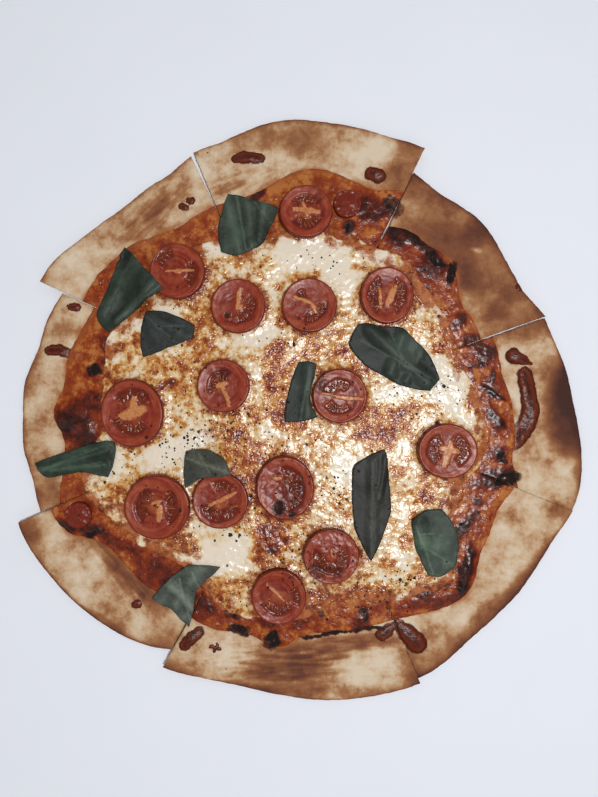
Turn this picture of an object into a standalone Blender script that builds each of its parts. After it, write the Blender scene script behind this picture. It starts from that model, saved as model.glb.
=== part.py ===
"""A thin-crust pizza, cut into eight slices that still lie together, with tomato sauce, melted cheese,
baked cherry tomatoes and basil leaves.

The tables are in millimetres and degrees, and the meshes in metres. +Z is up, and +Y is the far side
when the pizza is seen from the table. The origin is on the surface that it lies on, under the middle
of its outline. Every layer is a closed sheet over one outline: its top and its underside are heights
over the plan, and a thin gap keeps each layer clear of the next.
"""
import math

import bpy
import numpy as np
from mathutils import Vector, noise
from mathutils.geometry import delaunay_2d_cdt

MM = 0.001
GAP = 0.3                       # between pieces that touch

HUB = np.array([1.5, 3.2])      # where the eight cuts meet
CRUST_THICK = 2.8               # rolled dough under the topping
RIM_SWELL = 0.45                # how much the bare border has risen above that
BUBBLE = 0.75                   # height of the soft bubbles in the border
BUBBLE_SIZES = (21, 9)          # how wide those bubbles are, and the smaller ones among them
BORDER_START = 1.5              # how far outside the sauce the border starts to rise
BORDER_FULL = 9.0               # and where it has risen fully
EDGE_ROUND = 2.4                # width of the rounded outer edge
EDGE_DROP = 1.3                 # how far the top falls over that width
SAUCE_THICK = 0.7
SAUCE_EDGE = 0.35               # thickness of the sauce where it runs out
SAUCE_RUN_OUT = 3.0             # over what width it runs out
SAUCE_LUMP = 0.35               # height of its lumps
SAUCE_DIP = 0.15                # the deepest hollow between them
CHEESE_POCKET = 0.8             # cheese left under a tomato
CHEESE_FREE = 1.5               # cheese between the tomatoes
CHEESE_EDGE = 0.5               # cheese where it runs out
CHEESE_RUN_OUT = 5.0            # over what width it runs out
CHEESE_LUMP = 0.8               # height of its lumps
POCKET_WALL = 0.45              # half the width of the step round a tomato
LEAF_THICK = 0.6
LEAF_WAVE = 1.3                 # how high a leaf ripples
LEAF_CLEAR = 0.9                # space between a leaf and a tomato that it lies beside
LEAF_OVER = 0.35                # extra room under a leaf that lies over a tomato
LEAF_SLOPE = 0.55               # how steeply a leaf can hang down from what it lies on
LEAF_REST = 0.1                 # extra space under it elsewhere
LIFT_WIDTH = 28.0               # how far a curled-up corner reaches into its slice
LIFT_START = 100.0              # distance from the hub where a slice starts to lift
LIFT_RUN = 30.0                 # how much further out it lifts fully

CRUST_STEP = 13.0               # spacing of points under the topping
BORDER_STEP = 8.5               # spacing of points round the border
SAUCE_STEP = 17.0
SAUCE_RIM_STEP = 6.8
KNEE = 0.8                      # how far outside the sauce the bare border starts to rise
CHEESE_STEP = 8.0
LEAF_STEP = 5.6
EDGE_CLEAR = 1.2                # the nearest that a point comes to its outline
CHEESE_EDGE_POINTS = 80
TOMATO_SIDES = 20
END_SIDES = 12
RING_POINTS = 16                # points on each ring that gives a tomato's pocket its form
SEED = 7

SAUCE_UNDER = CRUST_THICK + GAP
CHEESE_UNDER = SAUCE_UNDER + SAUCE_THICK + GAP
TOMATO_UNDER = CHEESE_UNDER + CHEESE_POCKET + GAP

# Each cut: its direction from the hub, and by how much it gapes, where that is widest, over what length.
CUT_KERF = 0.4
CUTS = {
    "a": (114.2, 1.8, 140.0, 18.0),
    "b": (64.6, 0.9, 95.0, 9.0),
    "c": (19.6, 0.5, 108.0, 25.0),
    "d": (-21.9, 0.1, 120.0, 10.0),
    "e": (-67.4, 0.7, 112.0, 9.0),
    "f": (-118.2, 0.6, 128.0, 18.0),
    "g": (-157.4, 0.6, 143.0, 15.0),
    "h": (155.4, 0.5, 140.0, 20.0),
}

# Each slice: the cuts on its two sides, how far the crust and the sauce reach from the hub on eight
# even spokes from the first cut round to the second, and the corner that has curled up off the plate.
SLICES = {
    "top": ("a", "b", (137, 137, 140, 142, 141, 140, 139, 140),
        (108, 107, 109, 115, 117, 114, 112, 117), (62.5, 129.0, 3.0)),
    "upper_right": ("b", "c", (128, 125, 126, 127, 125, 123, 123, 128),
        (98, 101, 100, 102, 98, 93, 94, 94), (122.0, 48.0, 2.0)),
    "right": ("c", "d", (128, 129, 132, 134, 137, 141, 144, 145),
        (100, 100, 100, 103, 105, 107, 108, 115), (0.0, 0.0, 0.0)),
    "lower_right": ("d", "e", (145, 142, 142, 143, 143, 144, 147, 149),
        (113, 110, 113, 116, 124, 124, 120, 117), (0.0, 0.0, 0.0)),
    "bottom": ("e", "f", (152, 151, 150, 148, 146, 145, 146, 149),
        (117, 116, 116, 115, 123, 118, 121, 121), (-68.0, -128.0, 2.5)),
    "lower_left": ("f", "g", (140, 145, 148, 150, 152, 153, 154, 154),
        (120, 117, 120, 120, 120, 123, 134, 136), (-141.0, -57.0, 3.0)),
    "left": ("g", "h", (143, 141, 142, 141, 140, 136, 135, 133),
        (132, 125, 121, 125, 120, 120, 117, 115), (0.0, 0.0, 0.0)),
    "upper_left": ("h", "a", (144, 142, 138, 135, 133, 133, 133, 136),
        (121, 121, 119, 117, 112, 108, 108, 108), (-130.0, 63.0, 4.0)),
}

# How far the melted cheese reaches from the hub, every ten degrees counterclockwise from +X.
CHEESE_REACH = (87, 82, 78, 83, 83, 86, 86, 85, 84, 87, 84, 82, 92, 94, 92, 95, 103, 101,
                100, 104, 118, 111, 108, 102, 105, 111, 109, 106, 99, 105, 110, 114, 94, 90, 92, 94)
CHEESE_RAGGED = 1.6             # how uneven that edge is

# Each halved tomato: its middle, its two half widths, the turn of the first, and its height.
TOMATOES = (
    (2.4, 97, 13.2, 13.2, 0, 5.6),
    (-60.6, 67.7, 13.9, 13.9, 0, 5.4),
    (-30.8, 50.7, 13.7, 13.7, 0, 5.6),
    (4.1, 51.1, 13.7, 13.7, 0, 5.8),
    (42.2, 56, 13.2, 14.2, 0, 5.5),
    (-38.1, 11.7, 13.2, 13.2, 0, 5.7),
    (-82.6, -1.6, 15.6, 17.2, 15, 6),
    (19, 6.8, 13.6, 13.6, 0, 5.8),
    (71.8, -20.2, 14.9, 13.7, 0, 5.5),
    (-70.4, -47.6, 16.4, 16, 0, 5.8),
    (-39.6, -44.6, 14, 14, 0, 5.4),
    (-7.8, -38.2, 14.7, 15.9, 10, 5.8),
    (14.8, -71.7, 13.9, 13.7, 0, 6.2),
    (-10.8, -91.5, 13.7, 13.7, 0, 5.7),
)
# The small end pieces of tomato, which lie on the sauce: middle, half width and height.
ENDS = (
    (23.0, 101.8, 7.0, 3.0),
    (-110.0, -52.2, 6.5, 2.8),
)

# From the middle of a half tomato's flat underside round to the middle of its cut face: the share of its
# half width and the share of its height.
TOMATO_PROFILE = ((0.80, 0.0), (0.94, 0.28), (1.0, 0.62), (0.95, 0.97), (0.86, 1.0), (0.70, 0.88))
TOMATO_DISH = 0.86              # height of the middle of the cut face
END_PROFILE = ((0.85, 0.0), (1.0, 0.35), (0.80, 0.80), (0.40, 0.97))
END_DISH = 1.0
TOMATO_UNEVEN = 0.035           # how far a tomato's side is from round
TOMATO_TIP = 0.35               # how far its cut face tips at its edge

# Each basil leaf: its corners in order, and the numbers of the tomatoes that it lies over.
LEAVES = {
    "basil_top": (((-36.1, 107), (-23.7, 104.3), (-11.4, 100.6), (-14.8, 91), (-18.8, 82.3),
        (-30.6, 76.3), (-39.5, 77.9), (-41, 91.2)), ()),
    "basil_upper_left": (((-87, 79.9), (-76.1, 69.2), (-67.2, 59.1), (-74.6, 54.2), (-95.4, 38.4),
        (-101.3, 46.7), (-94.9, 62.3)), (2,)),
    "basil_inner_left": (((-76.6, 48.7), (-66.7, 48.3), (-52.4, 41.8), (-53.4, 35.4), (-65.2, 30.7),
        (-78.1, 26), (-79.1, 37.6)), ()),
    "basil_left": (((-132.4, -26.8), (-126, -33.7), (-108.2, -30.8), (-95.4, -33.3), (-91.9, -23.6),
        (-91.9, -15), (-102.8, -16.7), (-114.6, -20.2)), ()),
    "basil_lower_left": (((-56.8, -20.5), (-45, -19.9), (-37.1, -24.4), (-34.1, -31.7), (-49.4, -33.7),
        (-56.8, -38.3)), (11,)),
    "basil_middle": (((-1, 23.6), (7.9, 22.6), (5.4, 11.1), (8.4, -3.7), (-7.9, -6.1),
        (-6.4, 8.2)), ()),
    "basil_upper_right": (((28.1, 42.4), (38.5, 42.5), (49.9, 40.4), (62.7, 27.9), (68.7, 15.1),
        (63.7, 9.2), (48.9, 12.1), (31.6, 22), (23.7, 31.9)), ()),
    "basil_long": (((41.5, -19.5), (26.2, -27.8), (25.2, -43.4), (26.7, -59), (34.6, -74.8),
        (40.5, -62.2), (44.4, -50.5), (43.5, -35.7)), ()),
    "basil_lower_right": (((54.8, -54.5), (60.8, -50.1), (69.6, -49.5), (75.1, -56.2), (78, -64.9),
        (76.6, -76.8), (69.1, -82.7), (63.2, -82.1), (56.8, -68.9)), ()),
    "basil_bottom": (((-55.8, -77.2), (-40, -77.8), (-51.4, -89.1), (-55.3, -107.4), (-64.2, -99.7),
        (-74.1, -94), (-63.7, -82.7)), ()),
}

# Drops and runs of baked sauce, thick enough to stand up: middle, length, width, turn and height.
DRIPS = (
    (-26.5, 125.5, 17, 6.5, 3, 1.1),
    (37.0, 116.8, 11.5, 7.5, -15, 1.2),
    (-55.5, 104.5, 4.5, 3.6, 0, 0.7),
    (-58.5, 101.0, 5, 4, 0, 0.8),
    (-113.5, 51.2, 7, 4.5, 0, 0.9),
    (-117.5, 28.2, 19, 6.5, -7, 1.2),
    (107.5, 26.2, 15, 9, -25, 1.3),
    (112.0, 9.8, 15, 8, -75, 1.2),
    (116.0, -1.8, 17, 8.5, 88, 1.3),
    (110.0, -15.2, 14, 6.5, 30, 1.1),
    (-55.0, -113.8, 12.5, 6.5, 35, 1.0),
    (-81.8, -97.2, 4.6, 4.6, 0, 0.7),
    (56.0, -114.5, 17, 8, -45, 1.2),
    (103.0, -34.5, 14, 8, 25, 1.0),
    (109.5, 62.2, 6, 3.5, -60, 0.7),
    (73.5, 68.8, 13, 6, 85, 1.0),
    (68.0, 75.8, 10, 7, -35, 0.9),
    (98.0, -5.2, 12, 8, -70, 0.9),
    (-110.0, -6.0, 20, 11, -45, 0.9),
    (-119.0, -3.0, 14, 7, -40, 0.9),
    (83.0, -79.0, 22, 6, 75, 0.9),
)

SMALL_DRIP = 8                  # a drip shorter than this has fewer points

# Each finish: its colour in linear light, and its roughness.
FINISHES = {
    "crust": ((0.55, 0.38, 0.23), 0.8),
    "sauce": ((0.23, 0.05, 0.02), 0.4),
    "cheese": ((0.70, 0.60, 0.42), 0.35),
    "tomato": ((0.20, 0.035, 0.02), 0.25),
    "basil": ((0.04, 0.06, 0.035), 0.4),
}


def remove_everything():
    """Start from an empty scene."""
    for thing in list(bpy.data.objects):
        bpy.data.objects.remove(thing)


def make_finish(name):
    """One plain material from the table of finishes."""
    colour, roughness = FINISHES[name]
    material = bpy.data.materials.new(name)
    material.use_nodes = True
    shader = material.node_tree.nodes["Principled BSDF"]
    shader.inputs["Base Color"].default_value = (*colour, 1.0)
    shader.inputs["Roughness"].default_value = roughness
    return material


def make_object(name, vertices, faces, material):
    """A mesh object from points in millimetres."""
    mesh = bpy.data.meshes.new(name)
    mesh.from_pydata([tuple(c * MM for c in v) for v in vertices], [], faces)
    mesh.materials.append(material)
    mesh.shade_smooth()
    mesh.set_sharp_from_angle(angle=math.radians(40))
    mesh.update()
    piece = bpy.data.objects.new(name, mesh)
    bpy.context.scene.collection.objects.link(piece)
    return piece


def ramp(value, start, end):
    """0 before start, 1 after end, with a soft bend at both."""
    t = min(max((value - start) / (end - start), 0.0), 1.0)
    return t * t * (3 - 2 * t)


def lumps(x, y, size, seed):
    """Smooth unevenness from -1 to 1, with lumps about this size."""
    return noise.noise(Vector((x / size, y / size, seed * 3.7)))


def curve_through(values, t):
    """A smooth curve (Catmull-Rom) through evenly spaced values, for t from 0 to 1."""
    last = len(values) - 1
    place = min(max(t, 0.0), 1.0) * last
    i = min(int(place), last - 1)
    f = place - i
    before, here, after, beyond = (values[min(max(i + k, 0), last)] for k in (-1, 0, 1, 2))
    return here + 0.5 * f * (after - before + f * (2 * before - 5 * here + 4 * after - beyond
                                                   + f * (3 * (here - after) + beyond - before)))


def direction(degrees):
    return np.array([math.cos(math.radians(degrees)), math.sin(math.radians(degrees))])


def polar(x, y):
    """Distance from the hub, and direction in degrees."""
    dx = x - HUB[0]
    dy = y - HUB[1]
    return math.hypot(dx, dy), math.degrees(math.atan2(dy, dx))


def cut_point(cut, distance, side):
    """A point on one side of a cut: side is 1 counterclockwise of it and -1 clockwise."""
    degrees, extra, widest, length = CUTS[cut]
    kerf = CUT_KERF + extra * math.exp(-((distance - widest) / length) ** 2)
    return HUB + distance * direction(degrees) + side * kerf / 2 * direction(degrees + 90)


class Slice:
    """One eighth of the pizza: its two cuts, its reaches and its curled-up corner."""

    def __init__(self, name):
        first, second, self.crust_reaches, self.sauce_reaches, self.corner = SLICES[name]
        self.name = name
        self.cuts = (first, second)
        self.start = CUTS[first][0]
        self.sweep = (self.start - CUTS[second][0]) % 360

    def place(self, degrees):
        """Where a direction falls between the slice's cuts, from 0 to 1."""
        turned = (self.start - degrees) % 360
        if turned > 180 + self.sweep / 2:
            turned -= 360
        return turned / self.sweep

    def crust_reach(self, degrees):
        return curve_through(self.crust_reaches, self.place(degrees))

    def sauce_reach(self, degrees):
        return curve_through(self.sauce_reaches, self.place(degrees))

    def lift(self, x, y):
        """How far the slice has curled up off the plate."""
        corner_x, corner_y, height = self.corner
        near = math.exp(-(((x - corner_x) ** 2 + (y - corner_y) ** 2) / LIFT_WIDTH ** 2))
        return height * near * ramp(polar(x, y)[0], LIFT_START, LIFT_START + LIFT_RUN)

    def crust_top(self, x, y):
        """Height of the dough's top, with the drops of sauce that baked on to its bare border."""
        distance, degrees = polar(x, y)
        past_sauce = distance - self.sauce_reach(degrees)
        wide, narrow = BUBBLE_SIZES
        relief = RIM_SWELL + BUBBLE * lumps(x, y, wide, 1) + 0.4 * BUBBLE * lumps(x, y, narrow, 2)
        to_edge = (self.crust_reach(degrees) - distance) / EDGE_ROUND
        fall = EDGE_DROP * (1 - min(max(to_edge, 0.0), 1.0)) ** 2
        drips = ramp(past_sauce, 1.2, 2.8) * drip_height(x, y)
        bare = ramp(past_sauce, BORDER_START, BORDER_FULL)
        return self.lift(x, y) + CRUST_THICK + bare * relief - fall + drips

    def sauce_top(self, x, y):
        """Height of the sauce's top: lumpy where nothing lies on it, and thinner at its edge."""
        distance, degrees = polar(x, y)
        within = ramp(self.sauce_reach(degrees) - distance, 0.0, SAUCE_RUN_OUT)
        thick = SAUCE_EDGE + (SAUCE_THICK - SAUCE_EDGE) * within
        clear_of_cheese = ramp(distance - cheese_reach(degrees), 2.0, 7.0)
        clear_of_ends = min(ramp(math.hypot(x - end[0], y - end[1]) - end[2], 1.5, 6.0) for end in ENDS)
        relief = max(SAUCE_LUMP * lumps(x, y, 8, 3) + drip_height(x, y), -SAUCE_DIP)
        return self.lift(x, y) + SAUCE_UNDER + thick + relief * clear_of_cheese * clear_of_ends * within

    def arc(self, reach, beyond, step):
        """A row of points from the slice's second cut round to its first, this far beyond a reach."""
        first, second = self.cuts
        steps = round(math.radians(self.sweep) * reach(self.start) / step)
        row = [cut_point(second, reach(self.start - self.sweep) + beyond, 1)]
        for k in range(1, steps):
            degrees = self.start - self.sweep * (1 - k / steps)
            row.append(HUB + (reach(degrees) + beyond) * direction(degrees))
        row.append(cut_point(first, reach(self.start) + beyond, -1))
        return row

    def outline(self, reach, side_step, rim_step, knee=0.0):
        """The slice's outline, counterclockwise: out along its second cut, round, and back to the tip.
        Each side has a point at the knee, a distance beyond the sauce, where the border starts."""
        first, second = self.cuts
        half = self.sweep / 2
        tip = HUB + CUT_KERF / 2 / math.sin(math.radians(half)) * direction(self.start - half)
        sides = []
        for cut, side, degrees in ((second, 1, self.start - self.sweep), (first, -1, self.start)):
            far = reach(degrees)
            bend = min(self.sauce_reach(degrees) + knee, far)
            distances = list(spread(0, bend, side_step)[1:])
            if far > bend:
                distances += list(spread(bend, far, side_step)[1:])
            sides.append([cut_point(cut, d, side) for d in distances])
        return [tip] + sides[0] + self.arc(reach, 0.0, rim_step)[1:-1] + sides[1][::-1]


def spread(start, end, step):
    """Evenly spaced values from start to end, about one step apart."""
    return np.linspace(start, end, max(2, round((end - start) / step) + 1))


def drip_height(x, y):
    """How far the drops and runs of sauce stand up here."""
    height = 0.0
    for drip_x, drip_y, length, width, turn, tall in DRIPS:
        along = direction(turn)
        u = ((x - drip_x) * along[0] + (y - drip_y) * along[1]) / (length / 2)
        v = ((y - drip_y) * along[0] - (x - drip_x) * along[1]) / (width / 2)
        height = max(height, tall * (1 - ramp(math.hypot(u, v), 0.45, 1.1)))
    return height


def drip_points():
    """Points that give each drop or run its form."""
    points = []
    for drip_x, drip_y, length, width, turn, _tall in DRIPS:
        middle = np.array([drip_x, drip_y])
        along = direction(turn)
        across = direction(turn + 90)
        sides = 6 if length < SMALL_DRIP else 8
        for share in (0.5, 1.12):
            for k in range(sides):
                u, v = share / 2 * direction(360 * k / sides)
                points.append(middle + u * length * along + v * width * across)
    return points


def cheese_reach(degrees):
    """How far the cheese reaches, as a closed smooth curve with an uneven edge."""
    count = len(CHEESE_REACH)
    place = (degrees % 360) / 360 * count
    i = int(place)
    around = [CHEESE_REACH[(i + k) % count] for k in (-1, 0, 1, 2)]
    smooth = curve_through(around, (1 + place - i) / 3)
    spoke = direction(degrees)
    return smooth + CHEESE_RAGGED * lumps(30 * spoke[0], 30 * spoke[1], 3.1, 5)


def any_lift(x, y):
    """The highest that any slice lifts here, which what lies over the slices follows."""
    return max(piece.lift(x, y) for piece in PIECES)


def tomato_distance(tomato, x, y):
    """Distance from a tomato's middle as a share of its half width there."""
    middle_x, middle_y, half_a, half_b, turn, _height = tomato
    along = direction(turn)
    u = ((x - middle_x) * along[0] + (y - middle_y) * along[1]) / half_a
    v = ((y - middle_y) * along[0] - (x - middle_x) * along[1]) / half_b
    return math.hypot(u, v)


def tomato_ring(tomato, extra, sides):
    """Points round a tomato, this far outside its widest edge."""
    middle_x, middle_y, half_a, half_b, turn, _height = tomato
    ring = []
    for k in range(sides):
        spoke = direction(360 * (k + 0.5) / sides)
        ring.append(np.array([middle_x, middle_y]) + (half_a + extra) * spoke[0] * direction(turn)
                    + (half_b + extra) * spoke[1] * direction(turn + 90))
    return ring


def cheese_top(x, y):
    """The melted cheese: lumpy between the tomatoes, thin under them, and thinner at its edge."""
    distance, degrees = polar(x, y)
    free = CHEESE_FREE + CHEESE_LUMP * lumps(x, y, 15, 8) + 0.5 * CHEESE_LUMP * lumps(x, y, 7, 9)
    free = CHEESE_EDGE + (free - CHEESE_EDGE) * ramp(cheese_reach(degrees) - distance, 0.0, CHEESE_RUN_OUT)
    for tomato in TOMATOES:
        past_edge = (tomato_distance(tomato, x, y) - 1) * tomato[2]
        above_pocket = max(free - CHEESE_POCKET, 0.0)
        free = min(free, CHEESE_POCKET) + above_pocket * ramp(past_edge, -POCKET_WALL, POCKET_WALL)
    return any_lift(x, y) + CHEESE_UNDER + free


def inside(points, x, y):
    """Whether a point is inside a closed outline."""
    within = False
    for (ax, ay), (bx, by) in zip(points, points[1:] + points[:1]):
        if (ay > y) != (by > y) and x < ax + (y - ay) * (bx - ax) / (by - ay):
            within = not within
    return within


def edge_distance(points, x, y):
    """Distance from a point to a closed outline."""
    start = np.array(points)
    run = np.roll(start, -1, axis=0) - start
    offset = np.array([x, y]) - start
    share = np.clip((offset * run).sum(1) / (run * run).sum(1), 0, 1)
    return np.linalg.norm(offset - share[:, None] * run, axis=1).min()


def clear_inside(outline, p):
    """Whether a point is inside an outline and not too near it for a triangle to fit between."""
    return inside(outline, *p) and edge_distance(outline, *p) > EDGE_CLEAR


def scattered(outline, step, clear, others=()):
    """A staggered, slightly uneven grid of points inside an outline, clear of its edge and of other points."""
    random = np.random.default_rng(SEED)
    uneven = 0.12 * step
    low = np.min(outline, axis=0)
    high = np.max(outline, axis=0)
    row_step = step * math.sqrt(3) / 2
    others = np.array(others).reshape(-1, 2)
    kept = []
    for row in range(int((high[1] - low[1]) / row_step) + 1):
        for column in range(int((high[0] - low[0]) / step) + 2):
            x = low[0] + (column + 0.5 * (row % 2)) * step + random.uniform(-uneven, uneven)
            y = low[1] + (row + 0.5) * row_step + random.uniform(-uneven, uneven)
            if not inside(outline, x, y) or edge_distance(outline, x, y) < clear:
                continue
            if len(others) and np.linalg.norm(others - (x, y), axis=1).min() < clear:
                continue
            kept.append(np.array([x, y]))
    return kept


def sheet(name, outlines, points, top, underside, material, crease=()):
    """A closed solid over the area that the outlines cover, between an underside and a top height.
    A crease is a row of points that the triangles don't cross."""
    loops = []
    flat = []
    for outline in outlines:
        loops.append(list(range(len(flat), len(flat) + len(outline))))
        flat += outline
    edges = [(a, b) for loop in loops for a, b in zip(loop, loop[1:] + loop[:1])]
    edges += [(len(flat) + k, len(flat) + k + 1) for k in range(len(crease) - 1)]
    flat += list(crease) + points
    plan, _edges, triangles, *_rest = delaunay_2d_cdt([Vector(p) for p in flat], edges, [], 0, 1e-5)
    kept = []
    for triangle in triangles:
        x = sum(plan[i].x for i in triangle) / 3
        y = sum(plan[i].y for i in triangle) / 3
        if any(inside(outline, x, y) for outline in outlines):
            kept.append(tuple(triangle))
    used = sorted({i for triangle in kept for i in triangle})
    number = {old: new for new, old in enumerate(used)}
    kept = [tuple(number[i] for i in triangle) for triangle in kept]
    plan = [plan[i] for i in used]
    vertices = [(p.x, p.y, top(p.x, p.y)) for p in plan] + [(p.x, p.y, underside(p.x, p.y)) for p in plan]
    count = len(plan)
    faces = list(kept) + [tuple(i + count for i in reversed(triangle)) for triangle in kept]
    one_way = {(t[k], t[(k + 1) % 3]) for t in kept for k in range(3)}
    for a, b in sorted(one_way):
        if (b, a) not in one_way:
            faces += [(b, a, a + count), (b, a + count, b + count)]
    return make_object(name, vertices, faces, material)


def make_crust(piece, material):
    """One slice of baked dough: flat under the topping, risen and bubbled on its bare border."""

    def past_sauce(p):
        distance, degrees = polar(*p)
        return distance - piece.sauce_reach(degrees)

    outline = piece.outline(piece.crust_reach, CRUST_STEP, BORDER_STEP, KNEE)
    crease = piece.arc(piece.sauce_reach, KNEE, SAUCE_RIM_STEP)
    fixed = [p for p in piece.arc(piece.crust_reach, -EDGE_ROUND, BORDER_STEP) if clear_inside(outline, p)]
    fixed += [p for p in drip_points() if clear_inside(outline, p) and past_sauce(p) > 2]
    border = scattered(outline, BORDER_STEP, BORDER_STEP * 0.55, fixed + crease)
    border = [p for p in border if past_sauce(p) > 1]
    hidden = scattered(outline, CRUST_STEP * 1.6, CRUST_STEP * 0.7, fixed)
    hidden = [p for p in hidden if past_sauce(p) < -CRUST_STEP / 2]
    points = fixed + border + hidden
    return sheet("crust_" + piece.name, [outline], points, piece.crust_top, piece.lift, material, crease)


def make_sauce(piece, material):
    """The slice's thin coat of sauce, cut along with it, with baked runs that stand up outside the cheese."""
    outline = piece.outline(piece.sauce_reach, SAUCE_STEP, SAUCE_RIM_STEP)
    fixed = [p for p in piece.arc(piece.sauce_reach, -SAUCE_RUN_OUT, BORDER_STEP) if clear_inside(outline, p)]
    for p in drip_points():
        distance, degrees = polar(*p)
        if clear_inside(outline, p) and distance > cheese_reach(degrees):
            fixed.append(p)
    for end_x, end_y, half, _height in ENDS:
        around = [np.array([end_x, end_y]) + (half + 1.4) * direction(36 * k) for k in range(10)]
        fixed = [p for p in fixed if math.hypot(p[0] - end_x, p[1] - end_y) > half + 2.5]
        fixed += [p for p in around if clear_inside(outline, p)]
    fixed += scattered(outline, SAUCE_STEP, SAUCE_STEP * 0.45, fixed)
    return sheet("sauce_" + piece.name, [outline], fixed, piece.sauce_top,
                 lambda x, y: piece.lift(x, y) + SAUCE_UNDER, material)


def make_cheese(material):
    """All the melted cheese, which has run together over the cuts, with a pocket for each tomato."""
    outline = []
    fixed = []
    for k in range(CHEESE_EDGE_POINTS):
        degrees = 360 * k / CHEESE_EDGE_POINTS
        outline.append(HUB + cheese_reach(degrees) * direction(degrees))
        between = 360 * (k + 0.5) / CHEESE_EDGE_POINTS
        fixed.append(HUB + (cheese_reach(between) - 4.0) * direction(between))
    under_tomatoes = [tomato_ring(tomato, -1.2, RING_POINTS) for tomato in TOMATOES]
    at_edge = [ring for ring in under_tomatoes if not all(inside(outline, *p) for p in ring)]
    fixed = [p for p in fixed if all(abs(tomato_distance(t, *p) - 1) * t[2] > 2.0 for t in TOMATOES)]
    for tomato in TOMATOES:
        for extra in (-POCKET_WALL, POCKET_WALL):
            fixed += [p for p in tomato_ring(tomato, extra, RING_POINTS) if clear_inside(outline, p)]
    loose = scattered(outline, CHEESE_STEP, CHEESE_STEP * 0.5, fixed)
    loose = [p for p in loose if all(not 0.4 <= tomato_distance(t, *p) <= 1 for t in TOMATOES)]
    return sheet("cheese", [outline] + at_edge, fixed + loose, cheese_top,
                 lambda x, y: any_lift(x, y) + CHEESE_UNDER, material)


def turned(name, tomato, under, profile, dish, sides, material):
    """A rounded piece turned from its profile, with uneven sides and a cut face that tips a little."""
    middle_x, middle_y, half_a, half_b, turn, height = tomato
    tip = direction(97.0 * middle_x) * TOMATO_TIP
    vertices = [(middle_x, middle_y, any_lift(middle_x, middle_y) + under)]
    for share, level in profile:
        for k in range(sides):
            spoke = direction(360 * k / sides)
            uneven = 1 - TOMATO_UNEVEN * abs(lumps(middle_x + 2 * spoke[0], middle_y + 2 * spoke[1], 1.3, 4))
            u, v = share * uneven * spoke * (half_a, half_b)
            x, y = (middle_x, middle_y) + u * direction(turn) + v * direction(turn + 90)
            vertices.append((x, y, any_lift(x, y) + under + level * (height + share * (tip @ spoke))))
    vertices.append((middle_x, middle_y, any_lift(middle_x, middle_y) + under + height * dish))
    faces = []
    for k in range(sides):
        after = (k + 1) % sides
        faces.append((0, 1 + after, 1 + k))
        for band in range(len(profile) - 1):
            low = 1 + band * sides
            high = low + sides
            faces += [(low + k, low + after, high + after), (low + k, high + after, high + k)]
        last = 1 + (len(profile) - 1) * sides
        faces.append((last + k, last + after, len(vertices) - 1))
    return make_object(name, vertices, faces, material)


def surface(x, y, tomatoes):
    """The highest thing that a leaf could lie on here, of the layers and of these tomatoes."""
    distance, degrees = polar(x, y)
    piece = next(p for p in PIECES if 0 <= p.place(degrees) <= 1)
    height = piece.crust_top(x, y)
    if distance < piece.sauce_reach(degrees) + 1:
        height = max(height, piece.sauce_top(x, y))
    if distance < cheese_reach(degrees) + 1:
        height = max(height, cheese_top(x, y))
    for tomato in tomatoes:
        if tomato_distance(tomato, x, y) < 1.03:
            height = max(height, any_lift(x, y) + TOMATO_UNDER + tomato[5] + LEAF_OVER)
    return height


def drape(x, y, tomatoes):
    """How low a leaf can hang here: over what is near it, and sloping down from what is further off."""
    best = surface(x, y, tomatoes)
    for reach in (LEAF_STEP * 0.55, LEAF_STEP * 1.1, LEAF_STEP * 1.7, LEAF_STEP * 2.3):
        for k in range(10):
            spoke = reach * direction(36 * k)
            slope = LEAF_SLOPE * max(0.0, reach - LEAF_STEP * 1.1)
            best = max(best, surface(x + spoke[0], y + spoke[1], tomatoes) - slope)
    return best


def smooth_loop(corners, step):
    """A closed outline, counterclockwise, through its corners and a little rounded, in points a step apart."""
    corners = [np.array(c, float) for c in corners]
    area = sum(a[0] * b[1] - b[0] * a[1] for a, b in zip(corners, corners[1:] + corners[:1]))
    if area < 0:
        corners.reverse()
    count = len(corners)
    points = []
    for i in range(count):
        before, here, after, beyond = (corners[(i + k) % count] for k in (-1, 0, 1, 2))
        pieces = max(1, round(np.linalg.norm(after - here) / step))
        for k in range(pieces):
            f = k / pieces
            out = 0.5 * (here - before + here - after)
            onward = 0.5 * (after - here + after - beyond)
            points.append(here + f * (after - here) + 0.5 * f * (1 - f) * ((1 - f) * out + f * onward))
    return points


def make_leaf(name, corners, over, material):
    """A thin wavy basil leaf, lying over the layers and over some tomatoes, and clear of the others."""
    lies_on = [TOMATOES[number - 1] for number in over]
    beside = [tomato for tomato in TOMATOES if tomato not in lies_on]
    outline = []
    for p in smooth_loop(corners, LEAF_STEP):
        for tomato in beside:
            share = tomato_distance(tomato, *p)
            clear = 1 + LEAF_CLEAR / tomato[2]
            if share < clear:
                middle = np.array(tomato[:2])
                p = middle + (p - middle) * clear / share
        outline.append(p)
    points = scattered(outline, LEAF_STEP, LEAF_STEP * 0.5)

    def underside(x, y):
        crests = 0.5 + 0.5 * math.sin(0.33 * x + 2.7 * lumps(x, y, 20, 6))
        ripple = LEAF_WAVE * crests * abs(lumps(x, y, 13, 7))
        return drape(x, y, lies_on) + GAP + LEAF_REST + ripple

    return sheet(name, [outline], points, lambda x, y: underside(x, y) + LEAF_THICK, underside, material)


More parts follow.
